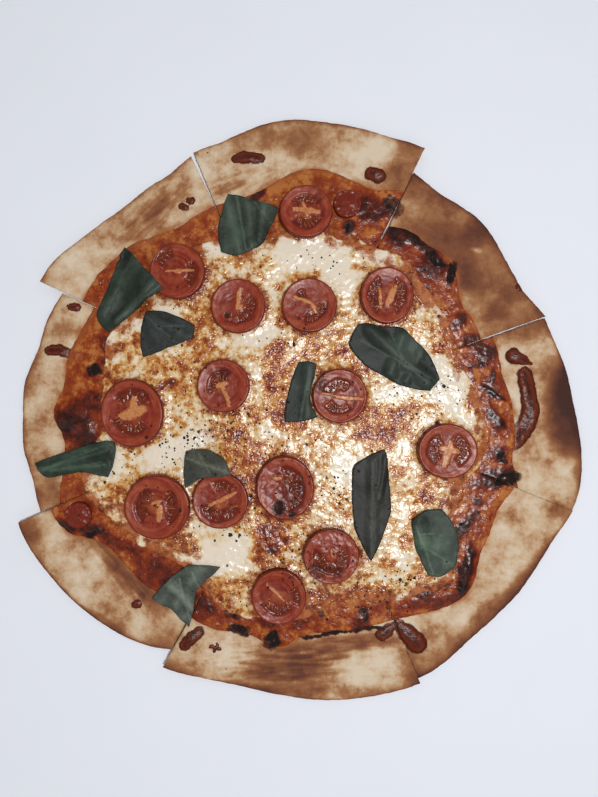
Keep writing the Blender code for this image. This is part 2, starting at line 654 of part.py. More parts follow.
def build():
    remove_everything()
    finish = {name: make_finish(name) for name in FINISHES}
    for piece in PIECES:
        make_crust(piece, finish["crust"])
        make_sauce(piece, finish["sauce"])
    make_cheese(finish["cheese"])
    for number, tomato in enumerate(TOMATOES, 1):
        turned(f"tomato_{number:02d}", tomato, TOMATO_UNDER, TOMATO_PROFILE, TOMATO_DISH, TOMATO_SIDES,
               finish["tomato"])
    for number, (x, y, half, height) in enumerate(ENDS, 1):
        turned(f"tomato_end_{number}", (x, y, half, half, 0, height), CHEESE_UNDER, END_PROFILE, END_DISH,
               END_SIDES, finish["tomato"])
    for name, (corners, over) in LEAVES.items():
        make_leaf(name, corners, over, finish["basil"])


PIECES = [Slice(name) for name in SLICES]
build()
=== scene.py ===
"""The looks of a baked thin-crust pizza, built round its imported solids."""
import math

import bpy
import numpy as np
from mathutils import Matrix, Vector, noise
from mathutils.bvhtree import BVHTree
from mathutils.geometry import delaunay_2d_cdt


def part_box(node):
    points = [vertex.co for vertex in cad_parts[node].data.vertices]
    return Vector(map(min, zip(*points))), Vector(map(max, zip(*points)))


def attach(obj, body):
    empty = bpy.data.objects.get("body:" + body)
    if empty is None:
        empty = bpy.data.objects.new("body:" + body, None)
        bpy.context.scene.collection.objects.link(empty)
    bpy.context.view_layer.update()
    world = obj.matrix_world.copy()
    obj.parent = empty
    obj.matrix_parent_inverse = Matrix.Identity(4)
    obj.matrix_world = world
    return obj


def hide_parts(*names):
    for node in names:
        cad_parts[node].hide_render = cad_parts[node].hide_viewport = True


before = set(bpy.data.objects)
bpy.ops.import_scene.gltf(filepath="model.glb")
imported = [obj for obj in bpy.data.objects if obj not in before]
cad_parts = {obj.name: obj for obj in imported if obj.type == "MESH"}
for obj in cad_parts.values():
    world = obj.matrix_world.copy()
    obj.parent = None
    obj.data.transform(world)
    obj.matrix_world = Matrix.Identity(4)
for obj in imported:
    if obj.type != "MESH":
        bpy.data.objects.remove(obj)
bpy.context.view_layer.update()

MM = 0.001                      # the tables and the helpers below are in millimetres
SLICES = ("top", "upper_right", "right", "lower_right", "bottom", "lower_left", "left", "upper_left")
HUB = np.array([1.5, 3.2])      # where the cuts meet
SEED = 11
NOISE_SPREAD = 2.6              # brings a noise node's values to about -1 to 1

CRUST_STEP = 0.85              # spacing of the points that carry each surface's form and masks
SAUCE_STEP = 0.7
CHEESE_STEP = 0.62
LEAF_STEP = 0.75
HIDDEN_STEP = 7.0               # the same where nothing shows
CRUST_ROWS = 4                  # rows of faces down the outer wall of the crust
COAT_ROWS = 3                   # and of the sauce and the cheese
CRUST_BULGE = 0.35
LEAF_THICK = 0.45
CLOSING = {"lower_right": 0.36, "lower_left": 0.30}     # how far these slices are widened, to close cuts
FAR_AWAY = 200.0                # how high above or below the pizza rays start

TOMATO_SIDES = 168
FACE_RINGS = 46
FACE_EDGE = 0.93                # the share of the half width where the cut face ends
TOMATO_DISH = 0.86              # height of the middle of a cut face, as a share of the tomato's height
TOMATO_RIM = 0.13               # how much higher its edge is
TOMATO_FULL = 0.94              # the share of the solid's height that the heights of 1 stand for
# From the rim of the cut face down to the underside: the share of the half width and of the height.
TOMATO_WALL = ((0.955, 0.985), (0.975, 0.95), (0.99, 0.88), (1.0, 0.76), (1.0, 0.62), (0.985, 0.48),
               (0.96, 0.34), (0.925, 0.2), (0.88, 0.09), (0.82, 0.02), (0.70, 0.0))
WRINKLED = (12, 13)             # tomatoes whose cut face has shrivelled
DOMED = (13,)                   # and one that lies with its skin up
END_SIDES = 72
END_HEIGHT = 2.9
# The same shares for an end piece of tomato, from its underside up to its top.
END_WALL = ((0.80, 0.0), (0.92, 0.10), (0.98, 0.25), (1.0, 0.42), (0.97, 0.6), (0.90, 0.75), (0.78, 0.86),
            (0.62, 0.93), (0.45, 0.97), (0.28, 0.99), (0.12, 1.0))

PEPPER_SCATTER = 0.30           # how far the specks spread, as a share of their area's length and width
PEPPER_SIZE = 0.38
PEPPER_UNEVEN = 0.36            # how much their sizes differ
LOWEST_TOPPING = 3.0            # specks that would land below this are left out
# A speck: five corners around it, its top and its bottom.
SPECK = ((1, 0, 0), (0.3, 0.9, 0.1), (-0.8, 0.5, 0), (-0.7, -0.6, 0.1), (0.4, -0.9, 0), (0.1, 0.1, 0.9),
         (0, 0, -0.7))

VIEW_MIDDLE = (-1.0, 5.5)       # what the camera stands over
CAMERA_HEIGHT = 313.0
LENS = 28.0
SENSOR = 36.0
NEAREST = 0.01                  # this and the sizes and places below are in metres
SKY = 0.22                      # light from everywhere
SKY_TINT = (0.97, 0.98, 1.0, 1.0)
SIDE_LAMPS = 4                  # soft lamps all round, a metre out
SIDE_TURN = 35                  # degrees from +X to the first one
SIDE_HEIGHT = 1.05
SIDE_SIZE = 0.7
SIDE_LAMP = 1.1                 # watts of each of them
KEY_PLACE = (0.17, -0.06, 1.0)
KEY_SIZE = 0.12
KEY_LAMP = 6.6                  # watts of the lamp overhead that gives wet spots their glints
FLOOR_HALF = 3.0
FLOOR_GAP = 0.0003

# Patches are soft ovals: middle x and y, length, width, turn of the length, and amount.
# Where the dough is toasted (above 0) or stayed pale (below 0).
TOAST = (
    (-43, 125, 26, 16, 20, -0.18), (-34, 114, 32, 9, 22, 0.22), (2, 134, 44, 16, 0, 0.28),
    (30, 131, 30, 18, -10, -0.30), (52, 122, 18, 30, -25, 0.32), (-28, 130, 20, 10, 25, 0.15),
    (-14, 122, 40, 10, 12, -0.08), (74, 80, 74, 36, -45, 0.54), (90, 91, 15, 14, 0, 0.25),
    (98, 49, 12, 10, 0, 0.35), (59, 99, 24, 9, -35, -0.08), (106, 62, 12, 20, 20, 0.12),
    (84, 66, 14, 10, -50, 0.12), (88, 80, 5, 2.5, -20, -0.3), (110, 52, 18, 10, -30, 0.2),
    (114, 42, 34, 13, 20, 0.40), (104, 14, 12, 26, 10, -0.10), (120, -10, 26, 34, 0, 0.16),
    (132, 2, 18, 44, 5, 0.75), (134, 12, 12, 22, 5, 0.30), (124, -32, 22, 22, 0, -0.05),
    (139, -28, 5, 30, 5, 0.15), (118, 22, 12, 12, 0, 0.15), (106, -58, 30, 24, 50, 0.09),
    (70, -108, 32, 14, 45, 0.08), (122, -74, 44, 9, 45, 0.28), (99, -100, 44, 10, 45, 0.32),
    (75, -122, 36, 12, 42, 0.28), (89, -65, 20, 9, 50, 0.30), (60, -118, 16, 12, 30, 0.15),
    (128, -50, 12, 8, -20, 0.26), (88, -90, 16, 10, 50, 0.15), (50, -112, 14, 10, 0, -0.1),
    (-37, -123, 30, 10, -5, -0.12), (34, -131, 36, 13, 5, -0.20), (-6, -128, 46, 22, 0, 0.60),
    (32, -115, 44, 6, 4, 0.45), (-60, -126, 18, 10, 10, 0.20), (-10, -141, 80, 5, 0, 0.25),
    (56, -131, 12, 22, 20, 0.40), (20, -120, 30, 8, 4, 0.25), (-108, -84, 50, 10, -50, -0.10),
    (-94, -96, 24, 14, -50, 0.32), (-134, -60, 18, 12, -30, 0.40), (-86, -82, 56, 12, -50, 0.50),
    (-70, -116, 20, 14, 30, 0.30), (-120, -96, 70, 9, -50, 0.32), (-100, -72, 30, 8, -50, 0.20),
    (-92, -112, 40, 7, -35, 0.25), (-130, 7, 14, 30, 5, 0.06), (-122, -43, 22, 18, -20, 0.42),
    (-121, 40, 12, 12, 0, 0.15), (-131, -20, 9, 22, 15, 0.05), (-108, 72, 34, 20, 40, -0.10),
    (-75, 97, 38, 12, 42, 0.34), (-62, 90, 22, 10, 35, 0.20), (-92, 112, 34, 8, 40, -0.15),
    (-98, 56, 16, 9, 10, 0.30), (-112, 82, 30, 14, 42, -0.12),
)
# Long strokes of toast, along which it is streaked: the same numbers.
STREAKS = (
    (-75, 97, 44, 16, 42, 1.0), (-32, 116, 38, 16, 22, 1.0), (-6, -126, 90, 26, 2, 1.0),
    (-88, -84, 50, 16, -50, 0.8), (20, -118, 60, 16, 4, 1.0),
)
# Drops and runs of sauce that baked on: each a row of points with x, y and half the width there.
DRIPS = (
    ((-32.5, 125.2, 2.4), (-28.5, 125.8, 3.3), (-20.5, 125.4, 2.6)),
    ((34.8, 117.4, 3.3), (38.8, 116.2, 3.7)),
    ((-56.0, 104.8, 1.5), (-54.8, 104.2, 1.9)),
    ((-59.2, 101.4, 1.8), (-57.4, 100.8, 1.6)),
    ((-115.0, 51.4, 1.8), (-112.2, 50.8, 2.3)),
    ((-126.0, 29.4, 2.5), (-121.5, 29.8, 3.3), (-116.0, 28.2, 2.3), (-108.5, 25.6, 1.5)),
    ((106.0, 26.8, 4.2), (110.0, 25.0, 2.9), (115.2, 22.3, 0.6)),
    ((111.6, 17.6, 4.0), (113.6, 8.0, 4.6), (114.6, 0.0, 4.7), (112.6, -8.0, 5.0), (107.0, -15.6, 4.8),
     (104.0, -18.0, 3.6)),
    ((-58.0, -117.2, 2.6), (-54.5, -113.6, 3.3), (-50.6, -110.6, 2.7)),
    ((-82.3, -97.3, 2.2), (-81.5, -97.1, 2.2)),
    ((48.5, -107.6, 3.0), (53.0, -111.5, 4.8), (58.0, -116.8, 5.4)),
    ((47.0, -107.2, 1.8), (43.0, -110.6, 3.4), (40.5, -112.6, 3.2)),
    ((110.4, 63.6, 1.2), (108.8, 60.4, 1.9)),
    ((-44.6, -117.8, 0.7), (-40.6, -119.4, 0.6)),
    ((-43.2, -120.6, 0.6), (-41.8, -117.2, 0.7)),
)
# Where the sauce has baked dark, and where it has charred black.
DARK_SAUCE = (
    (-21, 107.5, 9, 5, 60, 0.7), (24, 91, 7, 7, 0, 0.7), (35, 100, 16, 12, -20, 0.55),
    (-6, 113, 24, 8, 10, -0.3), (49, 88, 13, 12, 0, 0.8), (60, 84, 14, 8, -30, 0.7),
    (66, 72, 16, 12, -50, 0.6), (79, 44, 10, 7, 60, 0.7), (86, 34, 12, 7, 0, 0.6), (97, -4, 13, 6, -60, 0.6),
    (92, 28, 14, 8, 10, 0.6), (96, 10, 14, 12, 60, 0.35), (97, -34, 22, 9, 18, 0.7), (88, -46, 6, 5, 0, 0.6),
    (79, -62, 22, 6, 55, 0.7), (82, -80, 26, 7, 78, 0.9), (62, -90, 14, 6, 20, 0.6), (66, -96, 36, 6, 8, 0.35),
    (80, -88, 8, 5, 0, 0.5), (30, -108, 8, 10, 60, 0.5), (0, -104, 12, 10, 0, 0.3),
    (-16, -104, 10, 10, 0, 0.6), (-50, -98, 16, 12, -40, 0.5), (-70, -84, 30, 13, -38, 0.42),
    (-63, -92, 16, 11, -60, 0.45), (-92, -66, 22, 6, -25, 0.5), (-117, -58, 14, 8, -10, 0.7),
    (-104, -60, 12, 7, 10, 0.7), (-112, -8, 24, 16, -45, 0.55), (-104, 4, 16, 10, 0, 0.6),
    (-98, 32, 10, 6, -70, 0.6), (-66, 80, 10, 5, 20, 0.4), (-118, -6, 12, 10, 0, 0.35),
    (60, 66, 18, 9, -55, 0.35), (98, -22, 10, 8, 0, 0.6), (-100, -48, 16, 5, 0, 0.3),
    (96, 8, 15, 2.6, -32, 1.0), (89, 22, 9, 3, 10, 0.7), (85, 17, 3, 8, 10, 0.6), (96, 17, 3, 8, -10, 0.6),
)
CHAR = (
    (67.5, 75.2, 11, 6, -42, 1.0), (58, 83.5, 13, 5, -35, 0.7), (75, 68.2, 13.5, 5.2, 76, 1.0),
    (46, 101, 13, 9, -50, 0.6), (-103, 20, 7, 6, 0, 0.9), (-105.5, -16, 16, 10, -45, 0.5),
    (-104, -62, 6, 5, 0, 0.9), (-62, -88, 7, 6, 0, 0.6), (-34, -101, 9, 6, -20, 0.7),
    (-31, -110, 12, 6, -15, 0.8), (-14.5, -115, 8, 9, 0, 0.95), (-55, -112, 8, 4, 30, 0.5),
    (22, -111.5, 46, 2.2, 6, 1.1), (31, -103, 5, 9, 10, 0.6), (103, -35, 17, 8, 18, 0.8),
    (100, -24, 6, 6, 0, 0.7), (-26, -97, 8, 5, 60, 0.7), (24, 90.5, 6, 6, 0, 0.8), (64, -89, 5, 5, 0, 0.5),
    (73, -88, 4, 4, 0, 0.5), (10, -102, 5, 4, 0, 0.5), (88, -53, 6, 5, 0, 0.5), (78, -60, 14, 3.5, 52, 0.6),
    (82, -78, 18, 3.5, 78, 0.6),
)
# Where the cheese has browned, with one patch of painted shade among them, and where it stayed a smooth white
# pool.
BROWNED_AND_SHADED = (
    (39, -8, 30, 22, -10, 0.62), (30, 22, 22, 12, 30, 0.50), (-9, 12, 16, 44, 5, 0.60),
    (-49, 67, 12, 12, 0, 0.22), (-13, -46, 28, 52, 5, 0.55), (-14, -66, 16, 18, 0, 0.75),
    (12, 30, 26, 16, 20, 0.45), (-50, 38, 14, 34, -10, 0.60), (-66, 18, 20, 12, 20, 0.45),
    (-55, 8, 14, 12, 0, 0.40), (-30, 0, 30, 14, -10, 0.40), (54, 48, 12, 26, 20, 0.25),
    (64, -42, 16, 14, 0, 0.45), (50, -62, 9, 22, 10, 0.60), (62, -56, 8, 6, 0, 0.60),
    (-30, -20, 22, 26, 0, 0.55), (-92, -42, 14, 12, 0, 0.40), (-46, -64, 22, 8, 0, 0.45),
    (-38, -88, 26, 14, 10, 0.45), (-2, -112, 20, 8, 0, 0.4), (-6, -5, 15, 12, 0, 0.55),
    (0, 66, 16, 5, 0, 0.35), (26, 76, 14, 6, 0, 0.25), (-14, 84, 14, 8, 20, 0.30), (35, 84, 12, 6, -10, 0.3),
    # The patch at 60, 4 in the next line is painted shade on a smooth pool, not browning.
    (-18, 70, 10, 8, 0, 0.30), (-30, 74, 14, 8, 0, 0.35), (6, -14, 22, 10, 0, 0.35), (60, 4, 20, 9, 20, 0.35),
    (80, 0, 16, 22, 20, 0.25), (46, -30, 16, 10, 0, 0.35), (-60, -66, 24, 8, -25, 0.5),
    (68, 34, 14, 12, -40, 0.35), (76, 20, 10, 8, 0, 0.4), (-86, 30, 12, 8, 0, 0.4), (-72, 26, 10, 6, 0, 0.45),
    (20, -48, 12, 16, 0, 0.25), (-94, 16, 12, 22, 10, 0.35), (60, -80, 16, 12, 0, 0.35),
    (34, -90, 28, 9, 0, 0.5), (8, -94, 16, 8, 0, 0.6), (44, -76, 14, 8, 0, 0.30), (-80, -30, 26, 7, 15, 0.3),
)
BROWN_SPOTS = (
    (29, 61, 4, 4, 0, 0.7), (26, 71, 4, 4, 0, 0.7), (9, 69, 4, 3, 0, 0.6), (12, 74, 3, 3, 0, 0.5),
    (-11, 61, 6, 5, 0, 0.7), (-26, 67, 5, 5, 0, 0.55), (-66, 12, 9, 6, 20, 0.95), (-73, 19, 5, 4, 0, 0.7),
    (-81, 35, 6, 6, 0, 0.7), (-42, 23, 8, 5, 20, 0.8), (-23, 25, 6, 4, 0, 0.6), (-59, -60, 5, 4, 0, 0.7),
    (-32, -58, 4, 5, 0, 0.7), (-20, -60, 7, 6, 0, 0.5), (-14, -68, 8, 7, 30, 0.6), (-21, -75, 6, 6, 0, 0.5),
    (43, -12, 9, 7, 0, 0.5), (31, -13, 9, 6, 20, 0.75), (48, -2, 10, 8, 0, 0.45), (62, -43, 8, 6, 0, 0.7),
    (56, -53, 7, 5, 20, 0.7), (-6, 2, 8, 10, 0, 0.5), (-16, 14, 6, 12, 20, 0.55), (66, 2, 6, 5, 0, 0.6),
    (20, 30, 8, 6, 0, 0.6), (0, 39, 10, 7, 0, 0.6), (-9, 44, 6, 9, 0, 0.5), (52, -66, 7, 9, 0, 0.8),
    (50, 76, 8, 4, 0, 0.5), (69, 30, 7, 6, -30, 0.75), (84, 24, 10, 5, 0, 0.4), (-3, 85, 6, 3, 0, 0.4),
    (-12, 31, 12, 8, 30, 0.45), (-42, -10, 8, 10, 0, 0.6), (-33, -13, 10, 8, 0, 0.5),
)
POOLS = (
    (4, 79, 40, 18, -5, 1.0), (20, 66, 22, 16, 0, 0.6), (-44, 83, 14, 12, -40, 1.0),
    (-62, -20, 40, 13, 25, 0.9), (-50, 8, 10, 8, 0, 0.2), (-40, -70, 26, 24, 30, 1.0),
    (50, -66, 9, 26, 5, 0.9), (66, 14, 36, 22, -40, 0.7), (44, 8, 18, 10, 20, 0.6),
    (-22, 36, 22, 8, 10, 0.9), (-94, -22, 10, 24, 0, 0.6), (72, 50, 26, 8, -50, 0.7),
    (-82, 58, 8, 6, 0, 0.4), (-18, -10, 14, 12, 0, 0.5), (22, -30, 16, 18, 0, 0.6), (14, -60, 20, 8, 20, 0.4),
    (-98, 40, 12, 18, 10, 0.5), (74, 8, 12, 28, 10, 0.6), (-64, 46, 12, 8, 0, 0.5), (82, -8, 8, 10, 0, 0.5),
    (30, -94, 12, 7, 0, 0.4), (58, -92, 20, 8, 0, 0.3), (-10, 66, 16, 12, 0, 0.5), (38, 76, 18, 9, -20, 0.7),
)
# Ground pepper: middle, length, width, turn and how many specks.
PEPPER = (
    (-60, -16, 44, 20, 20, 90), (-36, -10, 40, 22, 10, 80), (8, 74, 60, 18, 0, 46), (18, -40, 14, 20, 0, 40),
    (48, 4, 40, 18, 0, 54), (-5, -72, 18, 24, 0, 70), (46, -86, 40, 20, 0, 84), (-60, -48, 44, 26, 0, 56),
    (-6, 34, 36, 20, 0, 34), (-64, 36, 40, 30, 0, 30), (14, -70, 22, 22, 0, 40), (-30, -62, 20, 12, 0, 24),
    (-10, -30, 40, 40, 0, 70), (66, 10, 26, 40, -30, 40), (-90, -30, 24, 30, 0, 20),
    (-26, -88, 50, 20, 0, 24),
    (30, -104, 80, 12, 6, 18), (0, 0, 150, 150, 0, 110), (-70, 10, 40, 40, 0, 24), (60, 60, 30, 30, 0, 12),
)
# Where the sauce has only stained the dough, and where it shows through the cheese.
THIN_SAUCE = (
    (-108, 30, 30, 64, 0, 1.0), (-60, 92, 74, 26, 35, 1.0), (8, 116, 64, 16, 0, 1.0),
    (84, 46, 22, 54, 20, 0.8), (-112, -35, 22, 26, 0, 1.0), (-40, -108, 30, 12, -10, 0.6),
)
SAUCY = (
    (22, -95, 54, 13, 3, 0.9), (-58, -66, 24, 10, -30, 0.8), (-96, -60, 30, 11, -22, 0.8),
    (58, 62, 10, 30, 35, 0.7), (78, 34, 14, 22, 0, 0.5), (90, 0, 12, 34, 10, 0.6), (-44, -12, 14, 9, 0, 0.7),
    (-12, -54, 12, 26, 5, 0.5), (-92, 30, 12, 12, 0, 0.5), (-53, 38, 8, 24, 0, 0.5),
    (-22, -86, 12, 22, 20, 0.5), (78, -44, 14, 22, -20, 0.7), (12, 30, 20, 8, 10, 0.4),
    (34, 78, 20, 7, -20, 0.5), (-30, 88, 14, 6, 0, 0.5), (64, -90, 14, 8, 20, 0.6),
)
# What each tomato's cut face shows, on a disk of radius 1 with its own +X and +Y: the pale core as strokes
# (from x and y to x and y, and width), and the seeds as fans (from one direction to another, inner and outer).
TOMATO_FACES = {
    1: (((-0.45, 0.10, 0.50, -0.02, 0.16), (-0.10, 0.30, 0.05, -0.20, 0.12)),
        ((200, 340, 0.32, 0.62), (20, 160, 0.35, 0.60))),
    2: (((-0.42, 0.0, 0.62, 0.04, 0.07), (-0.05, 0.0, 0.14, 0.02, 0.16)),
        ((300, 400, 0.40, 0.72), (95, 170, 0.55, 0.85))),
    3: (((0.08, 0.62, -0.05, -0.05, 0.12), (-0.05, -0.08, 0.14, -0.02, 0.12)),
        ((-100, 50, 0.30, 0.60), (230, 262, 0.45, 0.6))),
    4: (((-0.55, 0.30, 0.10, 0.05, 0.11), (0.10, 0.05, 0.22, -0.25, 0.13)),
        ((-120, 20, 0.35, 0.60), (100, 150, 0.4, 0.6))),
    5: (((-0.28, 0.25, -0.25, -0.42, 0.10), (0.28, 0.28, 0.02, -0.32, 0.22)),
        ((110, 250, 0.42, 0.70), (-70, 70, 0.42, 0.70))),
    6: (((-0.05, 0.08, 0.22, -0.72, 0.12), (-0.20, 0.02, 0.05, 0.10, 0.20)), ((60, 215, 0.22, 0.55),)),
    7: (((-0.30, -0.10, 0.35, 0.12, 0.26), (-0.05, -0.15, 0.08, 0.40, 0.18)),
        ((30, 150, 0.42, 0.70), (190, 330, 0.40, 0.62))),
    8: (((-0.20, -0.02, 0.78, -0.12, 0.10), (-0.62, 0.10, -0.10, 0.0, 0.07)),
        ((40, 175, 0.25, 0.60), (200, 320, 0.40, 0.62))),
    9: (((-0.12, -0.55, 0.10, 0.30, 0.18), (-0.20, 0.10, 0.30, 0.0, 0.22)),
        ((110, 235, 0.35, 0.66), (-60, 70, 0.38, 0.66))),
    10: (((0.08, 0.05, 0.05, -0.42, 0.14), (-0.15, 0.10, 0.12, 0.20, 0.10)),
         ((100, 235, 0.32, 0.62), (-60, 60, 0.35, 0.62))),
    11: (((-0.38, -0.18, 0.52, 0.28, 0.11),), ((190, 350, 0.35, 0.72), (40, 120, 0.45, 0.70))),
    12: (((-0.38, 0.30, -0.18, 0.28, 0.09),), ((-40, 110, 0.25, 0.62), (270, 330, 0.5, 0.7))),
    13: (((0.0, 0.25, 0.05, 0.0, 0.08),), ((150, 400, 0.25, 0.6),)),
    14: (((-0.42, 0.45, 0.20, -0.15, 0.07),), ((200, 330, 0.35, 0.62), (-30, 40, 0.5, 0.75))),
}
# Dark holes and scorches on the cut faces: tomato, x, y, radius and how dark.
SCORCHES = (
    (3, -0.38, -0.36, 0.13, 0.9), (12, -0.20, -0.62, 0.30, 1.0), (12, 0.25, -0.85, 0.22, 0.9),
    (12, 0.3, -0.2, 0.7, 0.35), (4, -0.35, 0.35, 0.10, 0.5), (4, -0.40, -0.45, 0.10, 0.5),
    (6, 0.05, 0.50, 0.30, 0.5), (13, -0.55, -0.55, 0.45, 0.5), (13, 0.2, -0.6, 0.35, 0.4),
    (14, 0.15, 0.62, 0.10, 0.4), (8, -0.75, 0.45, 0.35, 0.6), (8, -0.2, -0.45, 0.16, 0.4),
    (10, -0.3, 0.5, 0.18, 0.3), (1, 0.5, 0.6, 0.35, 0.3), (11, -0.4, -0.3, 0.3, 0.25),
    (1, 0.72, -0.1, 0.3, 0.25),
)
# Each leaf: its tint, its folds and its veins. A fold or a vein is a stroke from x and y to x and y, with
# its width and, for a fold, its height.
LEAVES = {
    "basil_top": ((66, 78, 66),
                  ((-38, 106, -30, 78, 5, 1.6), (-27, 105, -24, 80, 4, 1.2), (-18, 103, -21, 84, 4, 1.5)),
                  ((-32, 106, -27, 78, 0.5), (-23, 103, -15, 92, 0.3))),
    "basil_upper_left": ((57, 69, 58), ((-70, 63, -90, 44, 4, 1.8), (-80, 74, -98, 48, 6, 1.0)),
                         ((-68, 61, -88, 46, 0.4), (-83, 75, -97, 46, 0.3))),
    "basil_inner_left": ((56, 62, 58), ((-77, 47, -56, 36, 5, 0.8),),
                         ((-76, 46, -60, 32, 0.4), (-70, 41, -57, 41, 0.3))),
    "basil_left": ((62, 78, 64),
                   ((-130, -30, -96, -20, 3, 1.4), (-124, -30, -97, -27, 3, 1.6), (-118, -23, -94, -17, 3, 1.0)),
                   ((-128, -30, -100, -19, 0.4), (-118, -29, -98, -26, 0.3))),
    "basil_lower_left": ((92, 95, 82), ((-54, -23, -38, -30, 4, 0.6),),
                         ((-56, -24, -36, -30, 0.4), (-50, -22, -44, -31, 0.3))),
    "basil_middle": ((56, 66, 57), ((4, 22, 3, -5, 5, 0.9),), ((5, 22, 0, -5, 0.5), (3, 12, 6, 2, 0.3))),
    "basil_upper_right": ((52, 62, 54),
                          ((34, 40, 62, 14, 6, 1.6), (50, 36, 44, 18, 5, 1.3), (60, 30, 52, 14, 4, 1.0)),
                          ((30, 34, 66, 14, 0.5), (44, 38, 50, 24, 0.35), (56, 34, 60, 22, 0.3))),
    "basil_long": ((53, 54, 48), ((36, -24, 35, -72, 5, 0.9), (42, -24, 38, -44, 3, 1.2)),
                   ((36, -26, 35, -73, 0.4), (40, -28, 38, -44, 0.35))),
    "basil_lower_right": ((78, 96, 80), ((57, -54, 60, -66, 6, 1.2),),
                          ((57, -57, 66, -83, 0.4), (61, -68, 74, -76, 0.28), (59, -61, 70, -62, 0.22))),
    "basil_bottom": ((98, 108, 96), ((-66, -86, -54, -98, 4, 1.6), (-50, -79, -62, -96, 5, 0.8)),
                     ((-60, -84, -55, -104, 0.35), (-54, -80, -50, -88, 0.3))),
}
# Painted light and shade on the leaves' facets: paler (above 0) where light falls on them, darker (below 0) where
# they are shaded. Soft ovals again.
LEAF_PAINTED_LIGHT_AND_SHADE = (
    (53, 31, 16, 12, -35, 0.55), (36, 34, 14, 16, 0, -0.35), (60, 20, 10, 10, 0, -0.2),
    (58, -54, 12, 9, 0, -0.6), (70, -70, 14, 18, 20, 0.2), (-34, 88, 10, 26, 0, 0.2),
    (-20, 86, 8, 12, 0, -0.4), (-100, -22, 12, 8, 0, -0.3), (38, -34, 10, 12, 0, -0.3),
    (33, -52, 8, 16, 0, 0.15), (-88, 66, 12, 12, 0, 0.15), (-78, 52, 8, 14, 0, -0.3),
)


def srgb(red, green, blue):
    """A colour as a screen shows it, from 0 to 255, in linear light."""
    shares = [c / 255 for c in (red, green, blue)]
    return tuple(c / 12.92 if c < 0.04045 else ((c + 0.055) / 1.055) ** 2.4 for c in shares) + (1.0,)


def ramp(values, start, end):
    """0 before start, 1 after end, with a soft bend at both."""
    t = np.clip((values - start) / (end - start), 0, 1)
    return t * t * (3 - 2 * t)


def lumps(plan, size, seed):
    """Smooth unevenness from about -1 to 1, with lumps of this size. The seed only picks which pattern."""
    return np.array([noise.noise((x / size, y / size, seed * 1.7)) for x, y in plan])


def direction(degrees):
    return np.array([math.cos(math.radians(degrees)), math.sin(math.radians(degrees))])


def all_round(count):
    """Directions spread evenly all round, from +X on."""
    return np.array([direction(360 * k / count) for k in range(count)])


def patches(plan, table, soft):
    """The sum of a table of soft ovals at each point."""
    total = np.zeros(len(plan))
    for x, y, length, width, turn, amount in table:
        along = direction(turn)
        u = ((plan[:, 0] - x) * along[0] + (plan[:, 1] - y) * along[1]) / (length / 2)
        v = ((plan[:, 1] - y) * along[0] - (plan[:, 0] - x) * along[1]) / (width / 2)
        total += amount * (1 - ramp(np.hypot(u, v), 1 - soft, 1 + soft))
    return total


def strongest(plan, table, soft):
    """As patches, but the strongest one at each point."""
    best = np.zeros(len(plan))
    for patch in table:
        best = np.maximum(best, patches(plan, (patch,), soft))
    return best


def in_runs(plan, table):
    """How deep each point is inside a table of runs: 0 at their edge and outside, 1 along their middle."""
    depth = np.zeros(len(plan))
    for run in table:
        for (ax, ay, start), (bx, by, end) in zip(run, run[1:]):
            away, share = stroke_distance(plan, (ax, ay, bx, by))
            depth = np.maximum(depth, 1 - away / (start + share * (end - start)))
    return depth


def stroke_distance(plan, stroke):
    """Distance from each point to a straight stroke, and how far along it the nearest place is."""
    start = np.array(stroke[:2], float)
    run = np.array(stroke[2:4], float) - start
    share = np.clip(((plan - start) @ run) / (run @ run), 0, 1)
    return np.linalg.norm(plan - start - share[:, None] * run, axis=1), share


def warped(plan, amount, size, seed):
    """The same points, pushed about a little, so that ovals come out with uneven edges."""
    return plan + amount * np.stack([lumps(plan, size, seed), lumps(plan, size, seed + 40)], axis=1)


def inside(loop, plan):
    """Whether each point is inside a closed loop."""
    within = np.zeros(len(plan), bool)
    x, y = plan.T
    for (ax, ay), (bx, by) in zip(loop, np.roll(loop, -1, axis=0)):
        crosses = (ay > y) != (by > y)
        if ay != by:
            within ^= crosses & (x < ax + (y - ay) * (bx - ax) / (by - ay))
    return within


def edge_distance(loop, plan):
    """Distance from each point to a closed loop."""
    best = np.full(len(plan), 1e9)
    for a, b in zip(loop, np.roll(loop, -1, axis=0)):
        best = np.minimum(best, stroke_distance(plan, (*a, *b))[0])
    return best


def signed(loop, plan):
    """Distance from each point to a closed loop, above 0 inside it."""
    return edge_distance(loop, plan) * np.where(inside(loop, plan), 1, -1)


def unit(vectors):
    """Each row of a table of vectors, scaled to length 1."""
    return vectors / np.maximum(np.linalg.norm(vectors, axis=1, keepdims=True), 1e-6)


def tangents(loop):
    """Which way a closed loop runs at each point."""
    return unit(np.roll(loop, -1, axis=0) - np.roll(loop, 1, axis=0))


def outward(loop):
    """Which way is out of a counterclockwise loop at each point."""
    along = tangents(loop)
    return np.stack([along[:, 1], -along[:, 0]], axis=1)


def along_cuts(loop):
    """How nearly a loop runs to or from the hub at each point: 0 along the rim, 1 along a cut."""
    return np.abs((tangents(loop) * unit(loop - HUB)).sum(1))


